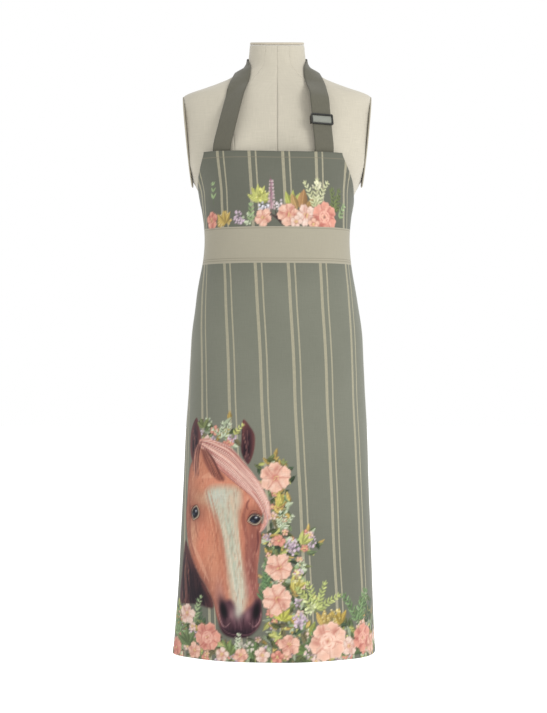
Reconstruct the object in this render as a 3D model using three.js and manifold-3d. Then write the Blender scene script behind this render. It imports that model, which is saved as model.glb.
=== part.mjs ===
// A long bib apron worn by a linen-covered dress-form torso.
// Millimetres, +Z up, -Y is the front. The origin is the centre of the pole socket,
// on the underside of the torso's base plate.

import * as THREE from 'three';
import { mergeVertices } from 'three/addons/utils/BufferGeometryUtils.js';
import Module from 'manifold-3d';

const wasm = await Module();
wasm.setup();

// ---------------------------------------------------------------- driving dimensions

const CLEARANCE = 0.35;

// Heights on the torso, from the base plate's underside.
const BASE_Z = 0;
const HIP_Z = 70;
const WAIST_Z = 264;
const BUST_Z = 415;
const SHOULDER_Z = 548;
const NECK_BASE_Z = 602;
const NECK_TOP_Z = 650;

// Half widths and depths of the torso, over its linen cover.
const HIP_HALF = 166;
const WAIST_HALF = HIP_HALF - 28;
const CHEST_HALF = 195;
const NECK_HALF = 54;
const HIP_FRONT = 105;
const WAIST_FRONT = 86;
const BUST_FRONT = 120;
const NECK_FRONT = 50;
const HIP_BACK = 121;
const WAIST_BACK = 80;
const SHOULDER_BACK = 106;
const NECK_BACK = 56;
const BUST_BUMP = 18;
const BUST_SPREAD = 80;
const FULLNESS = 2.3;
const NECK_TOP_TILT = Math.tan(THREE.MathUtils.degToRad(11));

// Armhole plates.
const ARMHOLE_HALF = 170.5;
const ARMHOLE_SLOPE = 0.0985;
const ARMHOLE_REACH = 86;
const ARMHOLE_DEPTH = 56;
const ARMHOLE_Z = 459;
const PLATE_THICKNESS = 2.5;

// Torso build-up, from the outside in.
const COVER_THICKNESS = 1.5;
const SHELL_THICKNESS = 4;
const BASE_THICKNESS = 12;
const CAP_THICKNESS = 5;

// Pole socket and its fasteners.
const SOCKET_BORE = 13;
const SOCKET_WALL = 4;
const SOCKET_DROP = 46;
const SOCKET_RISE = 34;
const FLANGE_RADIUS = 48;
const FLANGE_THICKNESS = 4;
const SCREW_CIRCLE = 35;
const SCREW_RADIUS = 2;
const SCREW_HEAD = 4.2;
const SCREW_LENGTH = 14;
const CLAMP_RADIUS = 3;
const CLAMP_Z = -30;
const CLAMP_KNOB = 11;
const CLAMP_KNOB_DEPTH = 12;

// Apron cloth.
const HEM_Z = -535;
const BIB_TOP_Z = 426;
const TIE_Z = 252;
const SKIRT_HALF = 320;
const BIB_HALF = 137;
const BIB_CURVE = 1.35;
const BIB_SHIFT = -10;
const SKIRT_SHIFT = -3;
const CLOTH_THICKNESS = 1.6;
const HEM_FLARE = 27;

// Webbing of the neck strap and the waist ties.
const WEBBING_WIDTH = 38;
const WEBBING_THICKNESS = 1.6;
const STRAP_LIFT = 2.1;
const SLIDER_RAIL = 3;
const SLIDER_SIDE = 2.5;
const SLIDER_HEIGHT = 22;
const SLIDER_DEPTH = 2;
const LOOP_LENGTH = 105;
const LOOP_HEIGHT = 26;
const TAIL_LENGTH = 360;

const { degToRad, clamp } = THREE.MathUtils;

// ---------------------------------------------------------------- colours

const paint = (color, roughness, metalness = 0) =>
  new THREE.MeshStandardMaterial({ color, roughness, metalness });

const LINEN = paint(0xcac3ae, 0.9);
const SHELL = paint(0xb7aa92, 0.8);
const SAGE = paint(0x7f8175, 0.9);
const WEBBING = paint(0x6a6a5b, 0.85);
const GUNMETAL = paint(0x2b2b2a, 0.4, 0.8);
const STEEL = paint(0x9b9a96, 0.35, 0.9);
const PLYWOOD = paint(0xb08d5f, 0.7);

// ---------------------------------------------------------------- curves and solids

// A smooth curve through [position, value] pairs that never overshoots them.
function profile(pairs) {
  const slope = pairs.slice(1).map(([x, y], i) => (y - pairs[i][1]) / (x - pairs[i][0]));
  const tangent = pairs.map((_, i) => {
    const before = slope[Math.max(i - 1, 0)];
    const after = slope[Math.min(i, slope.length - 1)];
    return before * after <= 0 ? 0 : (2 * before * after) / (before + after);
  });
  return (x) => {
    const last = pairs.length - 1;
    if (x <= pairs[0][0]) return pairs[0][1];
    if (x >= pairs[last][0]) return pairs[last][1];
    const i = pairs.findIndex(([end]) => x < end) - 1;
    const span = pairs[i + 1][0] - pairs[i][0];
    const s = (x - pairs[i][0]) / span;
    return (1 + 2 * s) * (1 - s) ** 2 * pairs[i][1]
      + s * (1 - s) ** 2 * span * tangent[i]
      + s * s * (3 - 2 * s) * pairs[i + 1][1]
      + s * s * (s - 1) * span * tangent[i + 1];
  };
}

// Turns a closed indexed geometry so that its faces point out.
function faceOut(geometry) {
  const p = geometry.attributes.position;
  const index = geometry.index.array;
  const a = new THREE.Vector3();
  const b = new THREE.Vector3();
  const c = new THREE.Vector3();
  let volume = 0;
  for (let i = 0; i < index.length; i += 3) {
    a.fromBufferAttribute(p, index[i]);
    b.fromBufferAttribute(p, index[i + 1]);
    c.fromBufferAttribute(p, index[i + 2]);
    volume += a.dot(b.cross(c));
  }
  if (volume < 0) geometry.setIndex(Array.from(index).reverse());
  return geometry;
}

// The closed solid between two grids of points with the same rows and columns.
function slab(outer, inner) {
  const rows = outer.length;
  const columns = outer[0].length;
  const index = [];
  const at = (side, i, j) => (side * rows + i) * columns + j;
  const quad = (a, b, c, d) => index.push(a, b, c, a, c, d);
  for (let i = 0; i < rows - 1; i++) {
    for (let j = 0; j < columns - 1; j++) {
      quad(at(0, i, j), at(0, i, j + 1), at(0, i + 1, j + 1), at(0, i + 1, j));
      quad(at(1, i, j), at(1, i + 1, j), at(1, i + 1, j + 1), at(1, i, j + 1));
    }
    const end = columns - 1;
    quad(at(0, i, 0), at(0, i + 1, 0), at(1, i + 1, 0), at(1, i, 0));
    quad(at(0, i, end), at(1, i, end), at(1, i + 1, end), at(0, i + 1, end));
  }
  for (let j = 0; j < columns - 1; j++) {
    const end = rows - 1;
    quad(at(0, 0, j), at(1, 0, j), at(1, 0, j + 1), at(0, 0, j + 1));
    quad(at(0, end, j), at(0, end, j + 1), at(1, end, j + 1), at(1, end, j));
  }
  const geometry = new THREE.BufferGeometry().setFromPoints([...outer.flat(), ...inner.flat()]);
  geometry.setIndex(index);
  return faceOut(geometry);
}

function toManifold(geometry) {
  const bare = geometry.clone();
  bare.deleteAttribute('normal');
  bare.deleteAttribute('uv');
  const merged = mergeVertices(bare, 1e-4);
  return new wasm.Manifold(new wasm.Mesh({
    numProp: 3,
    vertProperties: new Float32Array(merged.attributes.position.array),
    triVerts: new Uint32Array(merged.index.array),
  }));
}

function fromManifold(solid) {
  const mesh = solid.getMesh();
  const geometry = new THREE.BufferGeometry();
  geometry.setAttribute('position', new THREE.BufferAttribute(mesh.vertProperties, 3));
  geometry.setIndex(Array.from(mesh.triVerts));
  return geometry;
}

const group = new THREE.Group();

function add(name, geometry, material, parent = group) {
  const mesh = new THREE.Mesh(geometry, material);
  mesh.name = name;
  parent.add(mesh);
  return mesh;
}

// ---------------------------------------------------------------- torso surface

const halfWidth = profile([
  [BASE_Z, HIP_HALF], [HIP_Z, HIP_HALF - 2], [150, WAIST_HALF + 16], [WAIST_Z, WAIST_HALF],
  [346, WAIST_HALF + 10], [385, CHEST_HALF - 29], [BUST_Z, CHEST_HALF - 14],
  [500, CHEST_HALF], [535, CHEST_HALF - 3], [SHOULDER_Z, CHEST_HALF - 13],
  [553, CHEST_HALF - 23], [561, CHEST_HALF - 47], [571, CHEST_HALF - 75],
  [582, CHEST_HALF - 101], [592, NECK_HALF + 25], [NECK_BASE_Z, NECK_HALF + 9],
  [614, NECK_HALF + 3], [NECK_TOP_Z, NECK_HALF - 1],
]);

const frontDepth = profile([
  [BASE_Z, HIP_FRONT], [HIP_Z, HIP_FRONT + 3], [150, HIP_FRONT - 2], [WAIST_Z, WAIST_FRONT],
  [330, BUST_FRONT - 22], [370, BUST_FRONT - 6], [BUST_Z, BUST_FRONT], [460, BUST_FRONT - 8],
  [500, BUST_FRONT - 22], [SHOULDER_Z, NECK_FRONT + 27], [571, NECK_FRONT + 15],
  [592, NECK_FRONT + 6], [NECK_BASE_Z, NECK_FRONT + 3], [NECK_TOP_Z, NECK_FRONT - 1],
]);

const backDepth = profile([
  [BASE_Z, HIP_BACK - 8], [HIP_Z, HIP_BACK], [120, HIP_BACK - 3], [WAIST_Z, WAIST_BACK],
  [340, SHOULDER_BACK - 14], [430, SHOULDER_BACK], [500, SHOULDER_BACK - 2],
  [SHOULDER_Z, NECK_BACK + 36], [571, NECK_BACK + 22], [592, NECK_BACK + 11],
  [NECK_BASE_Z, NECK_BACK + 6], [NECK_TOP_Z, NECK_BACK - 1],
]);

// The flat of each armhole, where its plate is fastened. Below it the side is rounded.
const armholeX = (z) => ARMHOLE_HALF + ARMHOLE_SLOPE * (z - 405);
const armholeBottom = ARMHOLE_Z - ARMHOLE_REACH - 20;

// A point of a rounded section: turn is 0 at the centre front and 180 at the centre back.
function sectionPoint(turn, half, front, back) {
  const angle = degToRad(turn);
  const along = Math.abs(Math.sin(angle)) ** (2 / FULLNESS) * Math.sign(Math.sin(angle));
  const across = Math.abs(Math.cos(angle)) ** (2 / FULLNESS) * Math.sign(Math.cos(angle));
  return [half * along, -across * (across > 0 ? front : back)];
}

function formPoint(turn, z) {
  const [wide, deep] = sectionPoint(turn, halfWidth(z), frontDepth(z), backDepth(z));
  const flat = armholeX(z) - PLATE_THICKNESS - CLEARANCE;
  const side = z > armholeBottom ? flat : HIP_HALF;
  const bump = BUST_BUMP * Math.exp(-(((Math.abs(wide) - BUST_SPREAD) / 45) ** 2)
    - ((z - BUST_Z) / 55) ** 2);
  const y = deep < 0 ? deep - bump : deep;
  const rise = clamp((z - NECK_BASE_Z) / (NECK_TOP_Z - NECK_BASE_Z), 0, 1);
  return new THREE.Vector3(clamp(wide, -side, side), y, z + rise * NECK_TOP_TILT * y);
}

function formNormal(turn, z) {
  const step = 1;
  const around = formPoint(turn + step, z).sub(formPoint(turn - step, z));
  const low = Math.max(z - step, BASE_Z);
  const high = Math.min(z + step, NECK_TOP_Z);
  const up = formPoint(turn, high).sub(formPoint(turn, low));
  return around.cross(up).normalize();
}

const lifted = (turn, z, lift) => formPoint(turn, z).addScaledVector(formNormal(turn, z), lift);

const TRUNK_LEVELS = [BASE_Z, 45, 90, 140, 195, 230, WAIST_Z, 300, 345, 370, 395, BIB_TOP_Z];
const FORM_LEVELS = [
  ...TRUNK_LEVELS, 465, 505, SHOULDER_Z - 8, 553, 563, 578, 592, 601, 611, 626, NECK_TOP_Z,
];
const TURN_STEP = 11.25;

// One covering or shell panel between two turns, from lift outer down to lift inner.
function formPanel(start, end, outer, inner, gap = 0) {
  const count = Math.round((end - start) / TURN_STEP);
  const turns = Array.from({ length: count + 1 }, (_, i) => {
    const inset = i === 0 ? gap : i === count ? -gap : 0;
    return start + i * TURN_STEP + inset;
  });
  const grid = (lift) => FORM_LEVELS.map((z) => turns.map((turn) => lifted(turn, z, lift)));
  return slab(grid(outer), grid(inner));
}

const SHELL_OUTER = -COVER_THICKNESS - CLEARANCE;
const SHELL_INNER = SHELL_OUTER - SHELL_THICKNESS;
const SEAM_GAP = 0.12;

add('shell_front', formPanel(-90, 90, SHELL_OUTER, SHELL_INNER, SEAM_GAP), SHELL);
add('shell_back', formPanel(90, 270, SHELL_OUTER, SHELL_INNER, SEAM_GAP), SHELL);

// The linen is cut in eight panels that meet at the centre, princess and side seams.
const PRINCESS = 2 * TURN_STEP;
const BACK_PRINCESS = 180 - PRINCESS;
const PANELS = [
  ['front', 0, PRINCESS], ['side_front', PRINCESS, 90],
  ['side_back', 90, BACK_PRINCESS], ['back', BACK_PRINCESS, 180],
];
for (const [place, start, end] of PANELS) {
  add(`linen_${place}_right`, formPanel(start, end, 0, -COVER_THICKNESS, SEAM_GAP), LINEN);
  add(`linen_${place}_left`, formPanel(-end, -start, 0, -COVER_THICKNESS, SEAM_GAP), LINEN);
}

// ---------------------------------------------------------------- torso ends

// A flat outline that follows a section of the torso at a height, in from its surface.
function sectionOutline(z, inset) {
  const points = Array.from({ length: 32 }, (_, i) => lifted(i * TURN_STEP, z, -inset));
  return new THREE.Shape(points.map(({ x, y }) => new THREE.Vector2(x, y)));
}

function roundHole(shape, x, y, radius) {
  const hole = new THREE.Path().absarc(x, y, radius, 0, 2 * Math.PI, true);
  shape.holes.push(hole);
}

const screwPlaces = [45, 135, 225, 315].map((turn) => {
  const angle = degToRad(turn);
  return [SCREW_CIRCLE * Math.cos(angle), SCREW_CIRCLE * Math.sin(angle)];
});

const SOCKET_OUTER = SOCKET_BORE + SOCKET_WALL;
const baseOutline = sectionOutline(BASE_Z, -SHELL_INNER + 1);
roundHole(baseOutline, 0, 0, SOCKET_OUTER + CLEARANCE);
for (const [x, y] of screwPlaces) roundHole(baseOutline, x, y, SCREW_RADIUS + CLEARANCE);
add('base_plate', new THREE.ExtrudeGeometry(baseOutline, {
  depth: BASE_THICKNESS, bevelEnabled: false, curveSegments: 12,
}), PLYWOOD);

// The neck cap closes the top: a tilted disc that stands on the end of the neck.
const capOutline = sectionOutline(NECK_TOP_Z, 0);
const cap = add('neck_cap', new THREE.ExtrudeGeometry(capOutline, {
  depth: CAP_THICKNESS, bevelEnabled: false,
}), LINEN);
cap.position.z = NECK_TOP_Z + 3 * CLEARANCE;
cap.rotation.x = Math.atan(NECK_TOP_TILT);

for (const [place, sign] of [['left', -1], ['right', 1]]) {
  const plate = new THREE.CylinderGeometry(1, 1, PLATE_THICKNESS, 28);
  plate.scale(ARMHOLE_DEPTH, 1, ARMHOLE_REACH);
  plate.rotateZ(Math.PI / 2);
  const mesh = add(`armhole_plate_${place}`, plate, LINEN);
  mesh.position.set(sign * (armholeX(ARMHOLE_Z) - PLATE_THICKNESS / 2), -4, ARMHOLE_Z);
  mesh.rotation.y = sign * Math.atan(ARMHOLE_SLOPE);
}

// ---------------------------------------------------------------- pole socket

const FLANGE_TOP = -CLEARANCE;
const FLANGE_BOTTOM = FLANGE_TOP - FLANGE_THICKNESS;
const outline = (pairs) => pairs.map(([r, z]) => new THREE.Vector2(r, z));
const upright = (geometry) => geometry.rotateX(Math.PI / 2);

const socketBody = toManifold(faceOut(mergeLathe([
  [SOCKET_BORE, -SOCKET_DROP], [SOCKET_OUTER, -SOCKET_DROP], [SOCKET_OUTER, FLANGE_BOTTOM],
  [FLANGE_RADIUS, FLANGE_BOTTOM], [FLANGE_RADIUS, FLANGE_TOP], [SOCKET_OUTER, FLANGE_TOP],
  [SOCKET_OUTER, SOCKET_RISE], [SOCKET_BORE, SOCKET_RISE], [SOCKET_BORE, -SOCKET_DROP],
], 24)));

// A closed turned body with its axis along Z.
function mergeLathe(pairs, segments) {
  const geometry = upright(new THREE.LatheGeometry(outline(pairs), segments));
  geometry.deleteAttribute('normal');
  geometry.deleteAttribute('uv');
  return mergeVertices(geometry, 1e-4);
}

// A round cutter along an axis, centred on a point.
function cutter(radius, length, place, axis) {
  const geometry = new THREE.CylinderGeometry(radius, radius, length, 16);
  if (axis === 'z') geometry.rotateX(Math.PI / 2);
  geometry.translate(...place);
  return toManifold(geometry);
}

let socket = socketBody;
for (const [x, y] of screwPlaces) {
  const hole = cutter(SCREW_RADIUS + CLEARANCE, 4 * FLANGE_THICKNESS, [x, y, FLANGE_BOTTOM], 'z');
  socket = socket.subtract(hole);
}
const clampHole = [0, SOCKET_OUTER, CLAMP_Z];
socket = socket.subtract(cutter(CLAMP_RADIUS + CLEARANCE, 2 * SOCKET_WALL + 4, clampHole, 'y'));
add('pole_socket', fromManifold(socket), STEEL);

const HEAD_TOP = FLANGE_BOTTOM - CLEARANCE;
screwPlaces.forEach(([x, y], i) => {
  const screw = faceOut(mergeLathe([
    [0, HEAD_TOP - 2.4], [SCREW_HEAD - 1, HEAD_TOP - 2.4], [SCREW_HEAD, HEAD_TOP - 1.4],
    [SCREW_HEAD, HEAD_TOP], [SCREW_RADIUS, HEAD_TOP], [SCREW_RADIUS, HEAD_TOP + SCREW_LENGTH],
    [0, HEAD_TOP + SCREW_LENGTH + 1],
  ], 12));
  add(`flange_screw_${i + 1}`, screw, STEEL).position.set(x, y, 0);
});

// The clamp screw points back: a threaded shank and a five-lobed knob.
const knobShape = new THREE.Shape(Array.from({ length: 30 }, (_, i) => {
  const angle = (i / 30) * 2 * Math.PI;
  const radius = CLAMP_KNOB + 1.6 * Math.cos(5 * angle);
  return new THREE.Vector2(radius * Math.cos(angle), radius * Math.sin(angle));
}));
const knob = new THREE.ExtrudeGeometry(knobShape, {
  depth: CLAMP_KNOB_DEPTH, bevelEnabled: false,
}).rotateX(-Math.PI / 2);
const SHANK_START = SOCKET_BORE - 2;
const KNOB_START = SOCKET_OUTER + 14;
const shankLength = KNOB_START + 4 - SHANK_START;
const shankPlace = [0, SHANK_START + shankLength / 2, CLAMP_Z];
const clampScrew = cutter(CLAMP_RADIUS, shankLength, shankPlace, 'y')
  .add(toManifold(knob.translate(0, KNOB_START, CLAMP_Z)));
add('clamp_screw', fromManifold(clampScrew), GUNMETAL);

// ---------------------------------------------------------------- apron cloth

// How far the cloth hangs clear of the torso at its sides, front and back.
const sideEase = profile([
  [HEM_Z, HEM_FLARE], [-125, 13], [BASE_Z, 6], [HIP_Z, 4.5], [150, 4.5], [BIB_TOP_Z, 5],
]);
const frontEase = profile([
  [HEM_Z, HEM_FLARE], [-300, 26], [-100, 24], [BASE_Z, 20], [60, 14], [120, 10], [190, 9],
  [WAIST_Z, 10], [320, 18], [370, 27], [BUST_Z, 30], [BIB_TOP_Z + 14, 31],
]);
const backEase = profile([[HEM_Z, 12], [BASE_Z, 10], [60, 8], [WAIST_Z, 7.5], [BIB_TOP_Z, 7]]);

function clothPoint(turn, z) {
  const half = halfWidth(z) + sideEase(z);
  const front = frontDepth(z) + frontEase(z);
  const [x, y] = sectionPoint(turn, half, front, backDepth(z) + backEase(z));
  return new THREE.Vector3(x, y, z);
}

function clothNormal(turn, z) {
  const around = clothPoint(turn + 1, z).sub(clothPoint(turn - 1, z));
  const up = clothPoint(turn, z + 2).sub(clothPoint(turn, z - 2));
  return around.cross(up).normalize();
}

// The turn at which the cloth has run a given length round from the centre front.
function turnAt(length, z) {
  const sign = Math.sign(length);
  let run = 0;
  let last = clothPoint(0, z);
  for (let turn = 1; turn <= 179; turn++) {
    const next = clothPoint(sign * turn, z);
    const step = next.distanceTo(last);
    if (run + step >= Math.abs(length)) {
      return sign * (turn - 1 + (Math.abs(length) - run) / step);
    }
    run += step;
    last = next;
  }
  return sign * 179;
}

// From the tie points up, both side edges curve in to the corners of the bib.
function clothEdges(z) {
  const fall = clamp((BIB_TOP_Z - z) / (BIB_TOP_Z - TIE_Z), 0, 1);
  const half = BIB_HALF + (SKIRT_HALF - BIB_HALF) * fall ** BIB_CURVE;
  const shift = BIB_SHIFT + (SKIRT_SHIFT - BIB_SHIFT) * fall;
  return [shift - half, shift + half];
}

const clothLift = (turn, z, lift) =>
  clothPoint(turn, z).addScaledVector(clothNormal(turn, z), lift);

const CLOTH_LEVELS = [
  HEM_Z, -450, -360, -270, -180, -90, BASE_Z, 45, 90, 140, 195, 230, TIE_Z, WAIST_Z,
  276, 288, 300, 311, 322, 333, 345, 357, 370, 395, BIB_TOP_Z,
];
const CLOTH_COLUMNS = 34;

function clothGrid(lift) {
  return CLOTH_LEVELS.map((z) => {
    const [left, right] = clothEdges(z);
    return Array.from({ length: CLOTH_COLUMNS + 1 }, (_, j) => {
      const turn = turnAt(left + ((right - left) * j) / CLOTH_COLUMNS, z);
      return clothLift(turn, z, lift);
    });
  });
}

add('apron_panel', slab(clothGrid(0), clothGrid(-CLOTH_THICKNESS)), SAGE);

// ---------------------------------------------------------------- neck strap

const formSamples = [];
for (let z = 300; z <= NECK_TOP_Z; z += z < SHOULDER_Z ? 8 : 2) {
  for (let turn = 0; turn < 360; turn += 3) {
    formSamples.push({ point: formPoint(turn, z), normal: formNormal(turn, z) });
  }
}

function nearestSample(point) {
  let best = formSamples[0];
  let bestDistance = Infinity;
  for (const sample of formSamples) {
    const distance = sample.point.distanceToSquared(point);
    if (distance < bestDistance) {
      best = sample;
      bestDistance = distance;
    }
  }
  return best;
}

// Moves a point out until it lies at least a lift above the torso.
function clearOfForm(point, lift) {
  const { point: base, normal } = nearestSample(point);
  const height = point.clone().sub(base).dot(normal);
  return point.clone().addScaledVector(normal, Math.max(lift - height, 0));
}

// A band of webbing along a route. face(station) is the way its outer side looks.
function webbing(route, face, lift, stations) {
  const curve = new THREE.CatmullRomCurve3(route, false, 'centripetal');
  const rows = Array.from({ length: stations + 1 }, (_, i) => {
    const middle = curve.getPointAt(i / stations);
    const along = curve.getTangentAt(i / stations);
    const out = face(middle);
    const across = along.clone().cross(out).normalize();
    const normal = across.clone().cross(along).normalize();
    const inner = [-0.5, -0.17, 0.17, 0.5].map((share) => clearOfForm(
      middle.clone().addScaledVector(across, share * WEBBING_WIDTH), lift));
    const outer = inner.map((point) => point.clone().addScaledVector(normal, WEBBING_THICKNESS));
    return { inner, outer };
  });
  return slab(rows.map((row) => row.outer), rows.map((row) => row.inner));
}

const point = (x, y, z) => new THREE.Vector3(x, y, z);

// A point behind the bib, clear of the cloth by a webbing's thickness.
function behindBib(x, z) {
  const half = halfWidth(z) + sideEase(z);
  const front = frontDepth(z) + frontEase(z);
  const depth = front * (1 - (Math.abs(x) / half) ** FULLNESS) ** (1 / FULLNESS);
  return point(x, BEHIND_CLOTH - depth, z);
}

// The way the chest straps face: square to the bib where they are sewn on.
const STRAP_LEFT = -104;
const STRAP_RIGHT = 88;
function chestFace(x) {
  const from = behindBib(x - WEBBING_WIDTH / 2, BIB_TOP_Z - 14);
  const to = behindBib(x + WEBBING_WIDTH / 2, BIB_TOP_Z - 14);
  const tilt = (to.y - from.y) / (to.x - from.x);
  return point(tilt, -1, 0.33).normalize();
}

// The slider's straight stretch of strap, from the bib up the right side of the chest.
const STRAP_ROOM = WEBBING_WIDTH ** 2 / 380;
const BEHIND_CLOTH = CLOTH_THICKNESS + WEBBING_THICKNESS + STRAP_ROOM;
const STRAP_END_Z = BIB_TOP_Z - 28;
const SLIDE_LOW = behindBib(STRAP_RIGHT, BIB_TOP_Z).add(point(0, 0, 10));
const SLIDE_HIGH = point(80, -99, 534);
const SLIDE_SHARE = 0.52;
const slideAxis = SLIDE_HIGH.clone().sub(SLIDE_LOW).normalize();
const slidePlace = SLIDE_LOW.clone().lerp(SLIDE_HIGH, SLIDE_SHARE);

const STRAP_ROUTE = [
  behindBib(STRAP_LEFT, STRAP_END_Z), behindBib(STRAP_LEFT, BIB_TOP_Z).add(point(0, 0, 8)),
  point(-95, -117, 475), point(-86, -98, 515),
  point(-76, -70, 556), point(-66, -38, 585), point(-60, 0, 604), point(-52, 36, 610),
  point(-30, 62, 608), point(0, 70, 606), point(30, 62, 608), point(52, 36, 610),
  point(60, 0, 604), point(66, -36, 586), point(74, -68, 562), SLIDE_HIGH,
  SLIDE_LOW.clone().lerp(SLIDE_HIGH, 0.75), slidePlace,
  SLIDE_LOW.clone().lerp(SLIDE_HIGH, 0.25), SLIDE_LOW,
  behindBib(STRAP_RIGHT, STRAP_END_Z),
];

// The strap faces as the bib does up the chest, and lies on the torso from the shoulders back.
function strapFace(middle) {
  const { normal } = nearestSample(middle);
  const share = THREE.MathUtils.smoothstep(middle.z, 540, 585);
  const chest = chestFace(middle.x < 0 ? STRAP_LEFT : STRAP_RIGHT);
  return chest.lerp(normal, share).normalize();
}

add('neck_strap', webbing(STRAP_ROUTE, strapFace, STRAP_LIFT, 44), WEBBING);

// The slider: two rails in front of the webbing and a bar behind it, between two sides.
// Its own axes are X across the webbing, Y along the strap and Z out from the chest.
const slideAcross = slideAxis.clone().cross(chestFace(STRAP_RIGHT)).normalize();
const slideOut = slideAcross.clone().cross(slideAxis);
const slider = new THREE.Group();
slider.applyMatrix4(new THREE.Matrix4().makeBasis(slideAcross, slideAxis, slideOut));
slider.position.copy(slidePlace);
group.add(slider);

const SLIDER_GAP = 0.5;
const innerWidth = WEBBING_WIDTH + 2 * SLIDER_GAP;
const sliderWidth = innerWidth + 2 * SLIDER_SIDE;
const frontFace = WEBBING_THICKNESS + SLIDER_GAP;
const backFace = -SLIDER_GAP;

function roundedOutline(width, height, radius, Outline) {
  const x = width / 2 - radius;
  const y = height / 2 - radius;
  const quarter = Math.PI / 2;
  return new Outline()
    .absarc(x, y, radius, 0, quarter)
    .absarc(-x, y, radius, quarter, 2 * quarter)
    .absarc(-x, -y, radius, 2 * quarter, 3 * quarter)
    .absarc(x, -y, radius, 3 * quarter, 4 * quarter);
}

function block(width, height, low, high, x) {
  const geometry = new THREE.BoxGeometry(width, height, high - low);
  return toManifold(geometry.translate(x, 0, (low + high) / 2));
}

const railOutline = roundedOutline(sliderWidth, SLIDER_HEIGHT, 3, THREE.Shape);
const windowHeight = SLIDER_HEIGHT - 2 * SLIDER_RAIL;
railOutline.holes.push(roundedOutline(innerWidth, windowHeight, 1.5, THREE.Path));
const rails = new THREE.ExtrudeGeometry(railOutline, {
  depth: SLIDER_DEPTH, bevelEnabled: false, curveSegments: 4,
}).translate(0, 0, frontFace);
const sideX = (innerWidth + SLIDER_SIDE) / 2;
const SIDE_SINK = 0.5;
const sideBack = backFace - 2 * SLIDER_DEPTH;
const frame = toManifold(rails)
  .add(block(SLIDER_SIDE, windowHeight, sideBack, frontFace + SIDE_SINK, -sideX))
  .add(block(SLIDER_SIDE, windowHeight, sideBack, frontFace + SIDE_SINK, sideX));
add('slider_frame', fromManifold(frame), GUNMETAL, slider);

const BAR_RADIUS = 1.6;
const bar = new THREE.CylinderGeometry(BAR_RADIUS, BAR_RADIUS, innerWidth - 2 * CLEARANCE, 10);
bar.rotateZ(Math.PI / 2).translate(0, 0, backFace - BAR_RADIUS);
add('slider_bar', bar, GUNMETAL, slider);

// ---------------------------------------------------------------- waist ties

const TIE_MIDDLE = TIE_Z - 22;
const KNOT_DEPTH = 9;
const KNOT_HALF = 17;
const knotY = clothPoint(180, TIE_MIDDLE - WEBBING_WIDTH / 2).y;
const TIE_LIFT = 1.2;
const KNOT_GAP = 1.5;
const LOOP_WIDTH = WEBBING_WIDTH - 6;
const LOOP_GAP = 4;
const LOOP_DROOP = 12;
const TAIL_LIFT = 6;
const TAIL_DROP = 45;
const TAIL_START = 24;
const TAIL_SPREAD = 26;

// Each tie starts on the outside of the apron's corner and runs to the knot.
function tieRun(sign) {
  const start = turnAt(sign * (SKIRT_HALF - 32), TIE_Z);
  const end = sign * (180 - THREE.MathUtils.radToDeg(KNOT_GAP / SKIRT_HALF));
  const count = 10;
  const column = (share, lift) => {
    const turn = start + (end - start) * share;
    return [-0.5, 0, 0.5].map((rise) => {
      const z = TIE_MIDDLE + rise * WEBBING_WIDTH;
      return clothLift(turn, z, lift);
    });
  };
  const grid = (lift) => Array.from({ length: count + 1 }, (_, i) => column(i / count, lift));
  return slab(grid(TIE_LIFT + WEBBING_THICKNESS), grid(TIE_LIFT));
}

// A loop of the bow: webbing bent round a long teardrop, its width upright.
function bowLoop(sign) {
  const count = 20;
  const teardrop = (inset) => Array.from({ length: count }, (_, i) => {
    const angle = ((i + 0.5) / count) * 2 * Math.PI;
    const along = (1 - Math.cos(angle)) / 2;
    const bulge = Math.sin(angle) * Math.sqrt(0.15 + 0.85 * along);
    const x = inset + along * (LOOP_LENGTH - 2 * inset);
    return new THREE.Vector2(sign * x, -sign * bulge * (LOOP_HEIGHT / 2 - inset));
  });
  const shape = new THREE.Shape(teardrop(0));
  shape.holes.push(new THREE.Path(teardrop(WEBBING_THICKNESS)));
  return new THREE.ExtrudeGeometry(shape, { depth: LOOP_WIDTH, bevelEnabled: false });
}

// A tail falls from the knot over the back of the torso and hangs beside its mate.
function tieTail(sign) {
  const drop = [0, 0.06, 0.15, 0.3, 0.45, 0.6, 0.8, 1];
  const column = (share, lift) => [-0.5, 0, 0.5].map((side) => {
    const z = TIE_Z - TAIL_DROP - share * TAIL_LENGTH;
    const x = sign * (TAIL_START + TAIL_SPREAD * Math.sqrt(share)) + side * WEBBING_WIDTH;
    const back = Math.max(clothPoint(180, z).y, clothPoint(180, HIP_Z + 20).y * (z < HIP_Z));
    return new THREE.Vector3(x, back + lift, z);
  });
  const grid = (lift) => drop.map((share) => column(share, lift));
  return slab(grid(TAIL_LIFT + WEBBING_THICKNESS), grid(TAIL_LIFT));
}

const loopY = knotY + LOOP_HEIGHT / 2 + TAIL_LIFT;
for (const [place, sign] of [['left', -1], ['right', 1]]) {
  add(`waist_tie_${place}`, tieRun(sign), WEBBING);
  const loop = add(`bow_loop_${place}`, bowLoop(sign), WEBBING);
  loop.position.set(sign * (KNOT_HALF + CLEARANCE + LOOP_GAP), loopY, TIE_MIDDLE - LOOP_WIDTH / 2);
  loop.rotation.y = sign * degToRad(LOOP_DROOP);
  add(`bow_tail_${place}`, tieTail(sign), WEBBING);
}

const knotBody = new THREE.SphereGeometry(1, 14, 10);
knotBody.scale(KNOT_HALF, KNOT_DEPTH, WEBBING_WIDTH / 2 - 3);
const knotPlace = knotY + TIE_LIFT + WEBBING_THICKNESS + CLEARANCE + KNOT_DEPTH + 0.5;
add('bow_knot', knotBody, WEBBING).position.set(0, knotPlace, TIE_MIDDLE);

export default group;
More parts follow.
